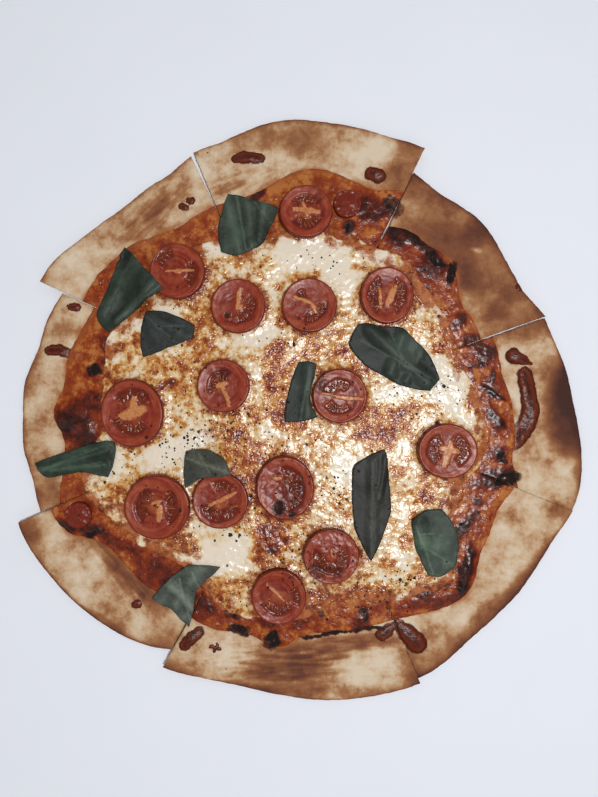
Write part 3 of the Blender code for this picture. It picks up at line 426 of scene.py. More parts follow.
class Solid:
    """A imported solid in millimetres: its outline from above, and the heights of its two faces."""

    def __init__(self, node):
        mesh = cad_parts[node].data
        mesh.calc_loop_triangles()
        self.points = np.array([v.co for v in mesh.vertices]) / MM
        self.triangles = [tuple(t.vertices) for t in mesh.loop_triangles]
        self.tree = BVHTree.FromPolygons([Vector(p) for p in self.points], self.triangles)

    def loop(self):
        """Its outline from above, counterclockwise."""
        onward = {}
        for triangle in self.triangles:
            a, b, c = (self.points[i] for i in triangle)
            area = (b[0] - a[0]) * (c[1] - a[1]) - (b[1] - a[1]) * (c[0] - a[0])
            if area > 1e-3:
                keys = [tuple(np.round(p[:2], 2)) for p in (a, b, c)]
                for start, end in zip(keys, keys[1:] + keys[:1]):
                    onward.setdefault(start, set()).add(end)
        edges = {a: b for a, ends in onward.items() for b in ends if a not in onward.get(b, ())}
        first = max(edges)
        loop = [first]
        while edges[loop[-1]] != first:
            loop.append(edges[loop[-1]])
        return np.array(loop)

    def heights(self, plan, from_above=True):
        """The height of its top or underside at each point, or of its nearest place beyond its edge."""
        start, way = (FAR_AWAY, -1) if from_above else (-FAR_AWAY, 1)
        beside = self.points[:, 2].max() if from_above else 0.0
        found = []
        for x, y in plan:
            hit = self.tree.ray_cast(Vector((x, y, start)), Vector((0, 0, way)))[0]
            if hit is None:
                hit = self.tree.find_nearest(Vector((x, y, beside)))[0]
            found.append(hit.z)
        return np.array(found)


def refined(loop, step, raggedness, size, seed, corner=32):
    """A smooth outline through a loop, with its sharp corners kept, and a slightly ragged line."""
    before = loop - np.roll(loop, 1, axis=0)
    onward = np.roll(loop, -1, axis=0) - loop
    bend = np.arctan2(before[:, 0] * onward[:, 1] - before[:, 1] * onward[:, 0], (before * onward).sum(1))
    sharp = np.abs(np.degrees(bend)) > corner
    heading = unit(unit(before) + unit(onward))
    points = []
    for i, here in enumerate(loop):
        run = onward[i]
        far = (i + 1) % len(loop)
        length = np.linalg.norm(run)
        lead = run if sharp[i] else heading[i] * length
        trail = run if sharp[far] else heading[far] * length
        pieces = max(1, round(length / step))
        for k in range(pieces):
            f = k / pieces
            points.append(here + f * run + f * (1 - f) * ((1 - f) * (lead - run) - f * (trail - run)))
    points = np.array(points)
    return widened(points, raggedness * lumps(points, size, seed))


def widened(loop, amount):
    """A closed loop with each point moved outwards by an amount."""
    return loop + outward(loop) * np.reshape(amount, (-1, 1))


def grid(loop, step, seed):
    """A staggered, slightly uneven grid of points inside a loop and clear of it."""
    random = np.random.default_rng(seed)
    low = loop.min(0)
    high = loop.max(0)
    rows = np.arange(low[1], high[1], step * math.sqrt(3) / 2)
    columns = np.arange(low[0] - step, high[0], step)
    x, y = np.meshgrid(columns, rows)
    x = x + 0.5 * step * (np.arange(len(rows)) % 2)[:, None]
    plan = np.stack([x.ravel(), y.ravel()], axis=1)
    plan += random.uniform(-0.18, 0.18, plan.shape) * step
    plan = plan[inside(loop, plan)]
    return plan[edge_distance(loop, plan) > step * 0.6]


def partly_hidden(loop, step, cover, near, deep):
    """Points inside a loop: fine ones where it shows and near there, and coarse ones deep under its cover."""
    fine = grid(loop, step, SEED)
    coarse = grid(loop, HIDDEN_STEP, SEED)
    return np.vstack([fine[signed(cover, fine) <= near], coarse[signed(cover, coarse) > deep]])


def triangulated(loop, plan):
    """Triangles over a loop and the points inside it. The loop's points come first, in order."""
    count = len(loop)
    flat = np.vstack([loop, plan]) if len(plan) else loop
    edges = [(k, (k + 1) % count) for k in range(count)]
    _points, _edges, faces, origins, *_rest = delaunay_2d_cdt([Vector(p) for p in flat], edges, [], 1, 1e-6)
    source = [min(origin) for origin in origins]
    return flat, [tuple(source[i] for i in face) for face in faces]


def smoothed(heights, triangles, times):
    """Heights evened out over their neighbours, so that a coarse solid's facets don't show."""
    corners = np.array(triangles)
    a = np.concatenate([corners[:, 0], corners[:, 1], corners[:, 2]])
    b = np.concatenate([corners[:, 1], corners[:, 2], corners[:, 0]])
    count = np.bincount(a, minlength=len(heights)) + np.bincount(b, minlength=len(heights))
    for _pass in range(times):
        total = np.bincount(a, heights[b], len(heights)) + np.bincount(b, heights[a], len(heights))
        heights = 0.5 * heights + 0.5 * total / np.maximum(count, 1)
    return heights


def band(upper, lower, count):
    """Triangles between two closed rows of points, from the index of each row's first point."""
    around = np.arange(count)
    after = (around + 1) % count
    first = np.stack([upper + after, upper + around, lower + around], axis=1)
    second = np.stack([upper + after, lower + around, lower + after], axis=1)
    return first.tolist() + second.tolist()


def turned(profile, spokes, first, last):
    """A shape turned in rings, from a first point to a last one: its points on a disk, and their levels."""
    middle = np.zeros((1, 2))
    disk = np.vstack([middle] + [spokes * share for share, _level in profile] + [middle])
    levels = [np.full(len(spokes), level) for _share, level in profile]
    return disk, np.concatenate([[first]] + levels + [[last]])


def turned_faces(rings, sides, from_top):
    """The triangles of such a shape, whose first point is its top or its underside."""
    last = 1 + (rings - 1) * sides
    faces = []
    for a in range(sides):
        b = (a + 1) % sides
        faces += [(1 + b, 1 + a, 0), (last + b, last + sides, last + a)]
    for inner in range(1, last, sides):
        faces += band(inner + sides, inner, sides)
    return [face[::-1] for face in faces] if from_top else faces


def new_piece(name, points, faces, masks, material, nodes):
    """A finished mesh piece that rides on the pizza and stands for some of its solids."""
    mesh = bpy.data.meshes.new(name)
    mesh.from_pydata((np.asarray(points) * MM).tolist(), [], [tuple(map(int, f)) for f in faces])
    for mask, values in masks.items():
        layer = mesh.attributes.new(mask, "FLOAT", "POINT")
        layer.data.foreach_set("value", np.asarray(values, np.float32))
    mesh.materials.append(material)
    mesh.shade_smooth()
    mesh.update()
    piece = bpy.data.objects.new(name, mesh)
    bpy.context.scene.collection.objects.link(piece)
    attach(piece, "root")
    if nodes:
        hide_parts(*nodes)


def dressed_sheet(name, node, loop, plan, top, masks, material, rows=COAT_ROWS, bulge=0.0):
    """A closed sheet over a refined outline: a detailed top, an outer wall in rows and a plain underside."""
    solid = Solid(node)
    flat, top_faces = triangulated(loop, plan)
    heights = top(solid, flat, top_faces)
    low_flat, low_faces = triangulated(loop, grid(solid.loop(), HIDDEN_STEP, SEED))
    low_heights = smoothed(solid.heights(low_flat, from_above=False), low_faces, 1)
    count = len(loop)
    on_cut = ramp(along_cuts(loop), 0.6, 0.8)
    points = [np.column_stack([flat, heights])]
    level = [np.ones(len(flat))]
    cut = [np.zeros(len(flat))]
    plans = [flat]
    for row in range(1, rows):
        share = row / rows
        push = bulge * math.sin(math.pi * share) * (1 - on_cut) + 0.12 * lumps(loop + 50 * row, 1.6, 3)
        z = heights[:count] * (1 - share) + low_heights[:count] * share
        points.append(np.column_stack([widened(loop, push), z]))
        plans.append(loop)
        level.append(np.full(count, 1 - share))
        cut.append(on_cut)
    points.append(np.column_stack([low_flat, low_heights]))
    plans.append(low_flat)
    level.append(np.zeros(len(low_flat)))
    cut.append(np.zeros(len(low_flat)))
    starts = np.cumsum([0] + [len(p) for p in points])
    faces = list(top_faces)
    for row in range(rows):
        faces += band(starts[row], starts[row + 1], count)
    base = starts[rows]
    faces += [(base + c, base + b, base + a) for a, b, c in low_faces]
    values = masks(np.vstack(plans))
    values["level"] = np.concatenate(level)
    values["cut"] = np.concatenate(cut)
    new_piece(name, np.vstack(points), faces, values, material, [node])


class Wire:
    """A value or a colour among a material's nodes. Sums on it add Math nodes."""

    def __init__(self, paint, socket):
        self.paint = paint
        self.socket = socket

    def math(self, operation, *values):
        return self.paint.node("ShaderNodeMath", {"operation": operation}, dict(enumerate((self, *values))))

    def __add__(self, other):
        return self.math("ADD", other)

    def __sub__(self, other):
        return self.math("SUBTRACT", other)

    def __mul__(self, other):
        return self.math("MULTIPLY", other)

    def __rsub__(self, other):
        return self.paint.node("ShaderNodeMath", {"operation": "SUBTRACT"}, {0: other, 1: self})

    __radd__ = __add__
    __rmul__ = __mul__

    def ramp(self, start, end):
        """0 below start, 1 above end, with a soft bend at both."""
        return self.paint.node("ShaderNodeMapRange", {"interpolation_type": "SMOOTHSTEP"},
                               {"Value": self, "From Min": start, "From Max": end})


class Paint:
    """A material in the making."""

    def __init__(self, name, **constants):
        self.material = bpy.data.materials.new(name)
        self.material.use_nodes = True
        self.tree = self.material.node_tree
        self.shader = self.tree.nodes["Principled BSDF"]
        for socket, value in constants.items():
            self.shader.inputs[socket.replace("_", " ")].default_value = value

    def feed(self, socket, value):
        if isinstance(value, Wire):
            self.tree.links.new(value.socket, socket)
        else:
            socket.default_value = value

    def node(self, kind, settings=None, inputs=None, output=0):
        """Any node: its settings first, then the values or wires of its sockets."""
        node = self.tree.nodes.new(kind)
        for key, value in (settings or {}).items():
            if key == "stops":
                while len(node.color_ramp.elements) < len(value):
                    node.color_ramp.elements.new(1.0)
                for element, (place, colour) in zip(node.color_ramp.elements, value):
                    element.position = place
                    element.color = colour
            else:
                setattr(node, key, value)
        for key, value in (inputs or {}).items():
            self.feed(node.inputs[key], value)
        return Wire(self, node.outputs[output])

    def mask(self, name):
        """One of the values that the mesh carries."""
        return self.node("ShaderNodeAttribute", {"attribute_name": name}, output=2)

    def grain(self, size, detail=3.0, rough=0.6, shift=0.0):
        """Noise from about -1 to 1 with grains of this size in millimetres."""
        place = self.node("ShaderNodeTexCoord", output=3)
        moved = self.node("ShaderNodeVectorMath", {"operation": "ADD"},
                          {0: place, 1: (shift, 0.7 * shift, 0.3 * shift)})
        value = self.node("ShaderNodeTexNoise", {}, {"Vector": moved, "Scale": 1 / (size * MM),
                                                     "Detail": detail, "Roughness": rough})
        return (value - 0.5) * NOISE_SPREAD

    def mix(self, factor, low, high):
        """One colour where the factor is 0 and another where it is 1."""
        return self.node("ShaderNodeMix", {"data_type": "RGBA", "clamp_factor": True},
                         {0: factor, 6: low, 7: high}, output=2)

    def ripples(self, size):
        """Even, rounded swells of this size in millimetres, without finer grain in them."""
        return self.grain(size, detail=0.0, shift=0.5)

    def steps(self, factor, *stops):
        """A colour that runs through a row of (place, colour) as the factor rises."""
        stops = [(place, srgb(*colour)) for place, colour in stops]
        return self.node("ShaderNodeValToRGB", {"stops": stops}, {"Fac": factor})

    def finish(self, colour, roughness, *bumps):
        """Connects the colour, the roughness and a row of (height, depth in millimetres)."""
        self.feed(self.shader.inputs["Base Color"], colour)
        self.feed(self.shader.inputs["Roughness"], roughness)
        normal = None
        for height, depth in bumps:
            inputs = {"Height": height, "Distance": depth * MM, "Strength": 1.0}
            if normal:
                inputs["Normal"] = normal
            normal = self.node("ShaderNodeBump", {}, inputs)
        if normal:
            self.feed(self.shader.inputs["Normal"], normal)
        return self.material


def crust_finish():
    paint = Paint("baked dough", IOR=1.4, Specular_IOR_Level=0.24)
    fine = paint.grain(0.6)
    small = paint.grain(1.8, detail=4.0)
    coarse = paint.grain(11.0, detail=4.0, rough=0.5)
    middle = paint.grain(3.0, detail=4.0, shift=0.3)
    toast = paint.mask("toast")
    uneven = 0.48 * coarse + 0.20 * middle + 0.12 * small + 0.08 * fine
    toast = toast + uneven * (1.15 - 0.7 * toast.ramp(0.1, 0.9))
    dough = paint.steps(toast * 0.8, (0.0, (212, 193, 169)), (0.14, (204, 181, 153)), (0.30, (190, 156, 121)),
                        (0.46, (158, 110, 73)), (0.62, (128, 78, 50)), (0.78, (98, 56, 41)), (1.0, (66, 38, 32)))
    stain = (paint.mask("stain") + 0.22 * coarse + 0.12 * small).ramp(0.3, 1.0)
    dough = paint.mix(stain * 0.8, dough, srgb(160, 94, 48))
    crumb = paint.steps(paint.grain(0.8, detail=4.0) + 0.5, (0.0, (176, 140, 104)), (1.0, (224, 205, 178)))
    side = 1 - paint.mask("level").ramp(0.92, 1.0)
    dough = paint.mix(side * paint.mask("cut"), dough, crumb)
    speckle = paint.grain(16, detail=6.0, rough=0.65) * 0.6 + 0.4
    under = paint.steps(speckle, (0.0, (208, 184, 150)), (0.5, (188, 150, 112)), (0.75, (140, 96, 66)),
                        (1.0, (84, 54, 44)))
    dough = paint.mix(1 - paint.mask("level").ramp(0.02, 0.3), dough, under)
    on_top = paint.mask("level").ramp(0.6, 0.95)
    drip = paint.mask("drip") * on_top
    run = paint.steps(drip + 0.25 * small + 0.06 * fine, (0.0, (60, 26, 16)), (0.2, (76, 29, 16)),
                      (0.45, (104, 42, 21)), (0.8, (82, 32, 18)), (1.0, (54, 24, 17)))
    dough = paint.mix(drip.ramp(0.0, 0.10), dough, run)
    char = paint.mask("char") * on_top * (1 + 0.9 * middle + 0.6 * small)
    dough = paint.mix(char.ramp(0.12, 0.45) * 0.85, dough, srgb(82, 36, 22))
    dough = paint.mix(char.ramp(0.40, 0.85), dough, srgb(34, 19, 15))
    roughness = 0.72 - 0.44 * drip.ramp(0.0, 0.15) + 0.06 * fine
    ripple = paint.ripples(1.2) * (0.12 + 0.07 * drip.ramp(0.0, 0.3))
    return paint.finish(dough, roughness, (ripple, 0.20), (small, 0.05), (fine, 0.02))


def sauce_finish():
    paint = Paint("baked tomato sauce", IOR=1.42, Specular_IOR_Level=0.32)
    fine = paint.grain(0.7, detail=4.0)
    small = paint.grain(1.5, detail=4.0)
    middle = paint.grain(3.2, detail=4.0)
    coarse = paint.grain(9.0, detail=3.0, shift=0.1)
    dark = paint.mask("dark") + 0.36 * middle + 0.30 * small + 0.08 * fine + 0.14 * coarse
    colour = paint.steps(dark * 0.75 + 0.15, (0.0, (172, 104, 50)), (0.12, (146, 68, 26)), (0.26, (126, 46, 17)),
                         (0.42, (102, 34, 14)), (0.6, (70, 24, 14)), (0.8, (42, 17, 13)), (1.0, (26, 13, 11)))
    thin = paint.mask("thin") + 0.30 * middle + 0.16 * small - 0.5 * paint.mask("dark").ramp(0.2, 0.6)
    orange = paint.mix(small * 0.6 + 0.5, srgb(130, 54, 23), srgb(160, 90, 46))
    colour = paint.mix(thin.ramp(0.15, 0.9) * 0.85, colour, orange)
    char = paint.mask("char") * (1 + 0.9 * middle + 0.6 * small)
    colour = paint.mix(char.ramp(0.12, 0.45) * 0.85, colour, srgb(58, 20, 12))
    black = char.ramp(0.40, 0.85)
    colour = paint.mix(black, colour, srgb(26, 14, 11))
    roughness = 0.27 + 0.04 * middle + 0.62 * black
    wet = 0.12 + 0.75 * paint.grain(5.0, detail=2.0, shift=0.6).ramp(0.0, 0.7)
    wet = wet * (1 - 0.75 * dark.ramp(0.35, 0.8))
    return paint.finish(colour, roughness, (paint.ripples(0.8) * wet, 0.15), (paint.ripples(2.0), 0.07))


def cheese_finish():
    paint = Paint("melted cheese", IOR=1.45, Specular_IOR_Level=0.5)
    small = paint.grain(0.9, detail=3.0)
    middle = paint.grain(3.0, detail=4.0, rough=0.58)
    coarse = paint.grain(6.0, detail=3.0, shift=0.2)
    rough = paint.mask("rough")
    mottle = (0.28 * coarse + 0.50 * middle + 0.12 * small) * rough
    brown = paint.mask("brown") + mottle
    colour = paint.steps(brown * 0.8, (0.0, (226, 212, 192)), (0.12, (219, 196, 160)), (0.23, (203, 158, 98)),
                         (0.33, (180, 114, 44)), (0.46, (150, 70, 18)), (0.62, (116, 40, 8)), (0.82, (76, 22, 6)),
                         (1.0, (36, 12, 6)))
    # Pale specks in the rough, unbrowned cheese: painted glints, given the look of pale curd grains.
    pale_grains_and_painted_glints = (paint.grain(0.8, detail=2.0, shift=0.4) + 0.5 * coarse).ramp(0.45, 0.85) * rough
    colour = paint.mix(pale_grains_and_painted_glints * (1 - brown.ramp(0.4, 0.7)) * 0.85, colour, srgb(234, 222, 206))
    oil = (paint.mask("oil") + 0.75 * middle + 0.45 * small).ramp(0.15, 1.0)
    deep = brown * 1.2 + 0.7 * middle + 0.5 * coarse + 0.3 * small
    colour = paint.mix(oil * 0.95, colour, paint.mix(deep, srgb(170, 90, 36), srgb(100, 36, 15)))
    roughness = 0.25 + 0.04 * small
    wet = 0.14 + 0.5 * (paint.mask("brown") + 0.5 * coarse).ramp(0.15, 0.6) + 0.35 * pale_grains_and_painted_glints + 0.15 * oil
    wet = wet * (1 - 0.75 * brown.ramp(0.55, 0.9))
    return paint.finish(colour, roughness, (paint.ripples(0.95) * wet, 0.18), (paint.ripples(2.2), 0.10))


def tomato_finish():
    paint = Paint("baked tomato", IOR=1.4, Specular_IOR_Level=0.33)
    fine = paint.grain(0.45, detail=4.0)
    small = paint.grain(1.2, detail=3.0)
    middle = paint.grain(3.0, detail=3.0)
    shade = paint.mask("ring") * 0.45 + middle * 0.30 + 0.16 * small + 0.45
    flesh = paint.steps(shade, (0.0, (94, 24, 13)), (0.5, (130, 45, 27)), (1.0, (152, 72, 45)))
    colour = paint.mix((paint.mask("gel") + 0.3 * small).ramp(0.2, 1.2) * 0.8, flesh, srgb(84, 26, 12))
    colour = paint.mix((paint.mask("glow") + 0.25 * middle).ramp(0.1, 0.9) * 0.8, colour, srgb(158, 82, 42))
    core = (paint.mask("core") + 0.36 * small + 0.16 * fine).ramp(0.1, 1.15)
    pale = paint.mix(small * 0.6 + 0.4, srgb(176, 100, 54), srgb(206, 152, 98))
    colour = paint.mix(core * 0.95, colour, pale)
    seed = (paint.mask("seed") + 0.3 * small + 0.1 * fine).ramp(0.3, 1.2)
    colour = paint.mix(seed * 0.75, colour, srgb(172, 108, 56))
    colour = paint.mix(paint.mask("skin") * 0.8, colour, srgb(104, 33, 20))
    scorch = paint.mask("scorch") * (1 + 0.8 * middle + 0.6 * small)
    colour = paint.mix(scorch.ramp(0.1, 0.5) * 0.8, colour, srgb(70, 22, 12))
    burnt = scorch.ramp(0.45, 1.1)
    colour = paint.mix(burnt, colour, srgb(36, 14, 10))
    roughness = 0.31 - 0.08 * paint.mask("gel") + 0.03 * middle + 0.5 * burnt
    wet = 0.04 + 0.6 * paint.mask("gel") * paint.grain(2.0, detail=1.0, shift=0.8).ramp(-0.2, 0.7)
    return paint.finish(colour, roughness, (paint.ripples(1.0) * wet, 0.18), (paint.ripples(3.0), 0.06))


def leaf_finish(name, tint):
    paint = Paint("leaf " + name, IOR=1.4, Specular_IOR_Level=0.35)
    fine = paint.grain(0.6, detail=4.0)
    small = paint.grain(2.0, detail=4.0)
    coarse = paint.grain(7.0, detail=4.0)
    dark = tuple(0.36 * c for c in tint)
    middle = tuple(0.70 * c for c in tint)
    light = tuple(1.10 * c for c in tint)
    # The raised folds are painted paler, as light on their ridges, and the shade mask adds painted light and
    # shade on the facets; the grain is the leaf's own uneven colour.
    shade = 0.42 + 0.45 * coarse + 0.20 * small + 0.08 * fine + 0.30 * paint.mask("raised") + paint.mask("shade")
    colour = paint.steps(shade, (0.0, dark), (0.5, middle), (1.0, light))
    colour = paint.mix(paint.mask("vein") * 0.42, colour, srgb(*(1.25 * c + 8 for c in tint)))
    wet = paint.grain(4.0, detail=1.0, shift=0.9).ramp(0.5, 1.0)
    return paint.finish(colour, 0.50 - 0.2 * wet, (paint.ripples(1.0) * wet, 0.12), (small, 0.04))


def plain_finish(name, colour, roughness, size, depth):
    paint = Paint(name)
    fine = paint.grain(size)
    low = tuple(0.8 * c for c in colour)
    return paint.finish(paint.mix(fine * 0.5 + 0.5, srgb(*low), srgb(*colour)), roughness, (fine, depth))


def make_crust(name, material):
    coarse_loop = Solid("crust_" + name).loop()
    sauce_loop = Solid("sauce_" + name).loop()
    loop = widened(refined(coarse_loop, CRUST_STEP, 0.18, 2.6, 5), CLOSING.get(name, 0.0))
    plan = partly_hidden(coarse_loop, CRUST_STEP, sauce_loop, 2.5, 4.0)
    rim = loop[(along_cuts(loop) < 0.7) & (np.linalg.norm(loop - HUB, axis=1) > 60)]

    def top(solid, flat, faces):
        heights = smoothed(solid.heights(flat), faces, 16)
        bare = ramp(-signed(sauce_loop, flat), 0.5, 4.0)
        drip = in_runs(warped(flat, 0.7, 3, 30), DRIPS)
        relief = 0.16 * lumps(flat, 6, 14) + 0.07 * lumps(flat, 2.2, 15) + 0.05 * lumps(flat, 1.1, 16)
        relief += 0.55 * ramp(drip, 0.0, 0.45) + 0.22 * ramp(drip, 0.1, 0.5) * lumps(flat, 2.1, 17)
        return heights + bare * relief

    def masks(plan):
        pushed = warped(plan, 2.4, 11, 21)
        toast = 0.28 + patches(pushed, TOAST, 0.7) + 0.12 * lumps(plan, 16, 22) + 0.07 * lumps(plan, 5, 23)
        for stroke in STREAKS:
            lengthwise = plan @ direction(stroke[4]) / 9
            crosswise = plan @ direction(stroke[4] + 90) / 1.3
            streaks = lumps(np.stack([lengthwise, crosswise], axis=1), 1.0, 24)
            toast += 0.30 * patches(pushed, (stroke,), 0.6) * streaks
        to_rim = np.min(np.linalg.norm(plan[:, None, :] - rim[None, :, :], axis=2), axis=1)
        toast += (0.30 + 0.2 * lumps(plan, 9, 25)) * np.exp(-to_rim / 1.2) + 0.18 * np.exp(-to_rim / 6)
        out = -signed(sauce_loop, plan)
        drip = in_runs(warped(plan, 0.7, 3, 30), DRIPS)
        stain = np.exp(-np.maximum(out, 0) / 3.0) * (0.7 + 1.1 * lumps(plan, 7, 26))
        stain += 0.34 * np.exp(-np.maximum(out, 0) / 6) * lumps(plan, 12, 27)
        char = patches(warped(pushed, 1.0, 2.2, 28), CHAR, 0.35)
        return {"toast": toast, "drip": drip, "stain": stain, "char": char}

    dressed_sheet("dough_" + name, "crust_" + name, loop, plan, top, masks, material,
                  rows=CRUST_ROWS, bulge=CRUST_BULGE)


def make_sauce(name, cheese_loop, material):
    coarse_loop = Solid("sauce_" + name).loop()
    loop = widened(refined(coarse_loop, SAUCE_STEP, 0.45, 3.0, 6), CLOSING.get(name, 0.0))
    plan = partly_hidden(coarse_loop, SAUCE_STEP, cheese_loop, 3.0, 5.0)

    def top(solid, flat, faces):
        heights = smoothed(solid.heights(flat), faces, 8)
        open_sauce = ramp(-signed(cheese_loop, flat), 0.0, 2.5) * ramp(signed(coarse_loop, flat), -0.5, 1.5)
        relief = 0.26 * lumps(flat, 3.8, 31) + 0.10 * lumps(flat, 1.6, 32)
        relief += 0.30 * patches(warped(flat, 1.2, 5, 33), DARK_SAUCE, 0.4)
        return heights + open_sauce * relief

    def masks(plan):
        pushed = warped(plan, 1.8, 6, 33)
        dark = patches(pushed, DARK_SAUCE, 0.45) + 0.30 * lumps(plan, 7, 34) + 0.15 * lumps(plan, 3, 35)
        inward = np.maximum(signed(coarse_loop, plan), 0)
        thin = np.exp(-inward / 3.5) * (0.8 + 1.1 * lumps(plan, 6, 36))
        thin *= np.minimum(patches(plan, THIN_SAUCE, 0.5), 1.0)
        return {"dark": dark, "thin": thin, "char": patches(warped(pushed, 1.0, 2.2, 28), CHAR, 0.35)}

    dressed_sheet("sauce_coat_" + name, "sauce_" + name, loop, plan, top, masks, material)


def tomato_box(number):
    """A tomato's middle, half widths and lowest and highest level."""
    low, high = (np.array(corner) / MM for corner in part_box(f"tomato_{number:02d}"))
    return (low + high) / 2, (high - low) / 2, low[2], high[2]


def make_cheese(loop, material):
    tomatoes = [tomato_box(number) for number in TOMATO_FACES]
    outline = refined(refined(loop, 3.0, 2.2, 8.0, 4), CHEESE_STEP, 0.8, 2.5, 7)
    plan = grid(loop, CHEESE_STEP, SEED)
    shares = [np.hypot((plan[:, 0] - m[0]) / h[0], (plan[:, 1] - m[1]) / h[1]) for m, h, _l, _h in tomatoes]
    deep = np.min(shares, axis=0) < 0.86
    plan = np.vstack([plan[~deep], [m[:2] for m, _h, _low, _high in tomatoes]])

    def to_tomato(plan):
        return np.min([(np.hypot((plan[:, 0] - m[0]) / h[0], (plan[:, 1] - m[1]) / h[1]) - 1) * h[0]
                       for m, h, _low, _high in tomatoes], axis=0)

    # Browning, with one patch of painted shade, less the white pools.
    def browned_and_shaded(plan):
        pushed = warped(plan, 2.2, 7, 41)
        spots = strongest(warped(warped(plan, 1.6, 4, 42), 0.7, 1.5, 40), BROWN_SPOTS, 0.35)
        pool = np.minimum(patches(pushed, POOLS, 0.5), 1.0)
        return patches(pushed, BROWNED_AND_SHADED, 0.6) * 0.44 + spots * 0.45 - 0.35 * pool

    def top(solid, flat, faces):
        heights = solid.heights(flat)
        near = to_tomato(flat)
        heights[near < 1.2] = np.median(heights) + 0.3
        heights = smoothed(heights, faces, 30)
        edge = ramp(signed(loop, flat), -0.5, 3.0)
        brown = np.clip(browned_and_shaded(flat), 0, 1)
        relief = (0.16 + 0.25 * brown) * lumps(flat, 3.2, 43) + (0.05 + 0.16 * brown) * lumps(flat, 1.4, 44)
        relief += 0.5 * np.exp(-np.maximum(near, 0) / 1.1) + 0.25 * lumps(flat, 9, 45)
        return heights + edge * relief

    def masks(plan):
        inward = signed(loop, plan)
        near = to_tomato(plan)
        brown = 0.20 + browned_and_shaded(plan) + 0.16 * lumps(plan, 9, 46) + 0.10 * lumps(plan, 4, 47)
        brown += 0.24 * np.exp(-np.maximum(near, 0) / 2.0) * (0.8 + lumps(plan, 6, 48))
        pool = np.minimum(patches(warped(plan, 2.2, 7, 41), POOLS, 0.5), 1.0)
        oil = 1.5 * np.exp(-np.maximum(inward, 0) / 5.0) * (0.8 + 1.8 * lumps(plan, 6, 38))
        oil += 0.9 * np.exp(-np.maximum(near, 0) / 2.2) * (0.9 + 1.2 * lumps(plan, 7, 56))
        oil += 0.3 * lumps(plan, 8, 49) + 0.9 * patches(warped(plan, 2.5, 7, 55), SAUCY, 0.5) - 0.5 * pool
        return {"brown": brown, "oil": oil, "rough": 1 - 0.6 * pool}

    dressed_sheet("melted_cheese", "cheese", outline, plan, top, masks, material)


def seeds(fan, random):
    """The seeds of one fan: each one's middle on the unit disk and its direction."""
    first, last, inner, outer = fan
    count = max(4, round(abs(last - first) / 12))
    for k in range(count):
        degrees = first + (last - first) * (k + random.uniform(0.2, 0.8)) / count
        yield direction(degrees) * random.uniform(inner + 0.04, outer - 0.08), degrees + random.uniform(-18, 18)


def face_masks(number, disk, random):
    """The pale core, the seeds, their wet pockets and the scorches of a tomato's cut face, on the unit disk."""
    turned = 10 * disk + 7 * number
    uneven = disk + 0.05 * np.stack([lumps(turned, 3, 50), lumps(turned, 3, 51)], axis=1)
    uneven += 0.02 * np.stack([lumps(turned, 0.9, 52), lumps(turned, 0.9, 53)], axis=1)
    radius = np.linalg.norm(uneven, axis=1)
    degrees = np.degrees(np.arctan2(uneven[:, 1], uneven[:, 0]))
    core = np.zeros(len(disk))
    seed = np.zeros(len(disk))
    gel = np.zeros(len(disk))
    scorch = np.zeros(len(disk))
    strokes, fans = TOMATO_FACES[number]
    for *stroke, width in strokes:
        away, share = stroke_distance(uneven, stroke)
        half = width / 2 * (0.55 + 0.75 * np.sin(math.pi * (0.15 + 0.7 * share)))
        core = np.maximum(core, 1 - ramp(away / half, 0.5, 1.5))
    for fan in fans:
        first, last, inner, outer = fan
        past_first = (degrees - first) % 360
        across = ramp(past_first, 0, 14) * (1 - ramp(past_first, last - first - 14, last - first))
        gel = np.maximum(gel, across * ramp(radius, inner - 0.12, inner) * (1 - ramp(radius, outer, outer + 0.1)))
        for place, turn in seeds(fan, random):
            u = (uneven - place) @ direction(turn) / random.uniform(0.06, 0.12)
            v = (uneven - place) @ direction(turn + 90) / random.uniform(0.020, 0.034)
            seed = np.maximum(seed, (1 - ramp(np.hypot(u, v), 0.4, 1.4)) * random.uniform(0.5, 1.0))
    for which, x, y, size, amount in SCORCHES:
        if which == number:
            share = np.linalg.norm(uneven - (x, y), axis=1) / size
            scorch = np.maximum(scorch, amount * (1 - ramp(share, 0.4, 1.2)))
    return {"core": core, "seed": seed, "gel": gel, "scorch": scorch}


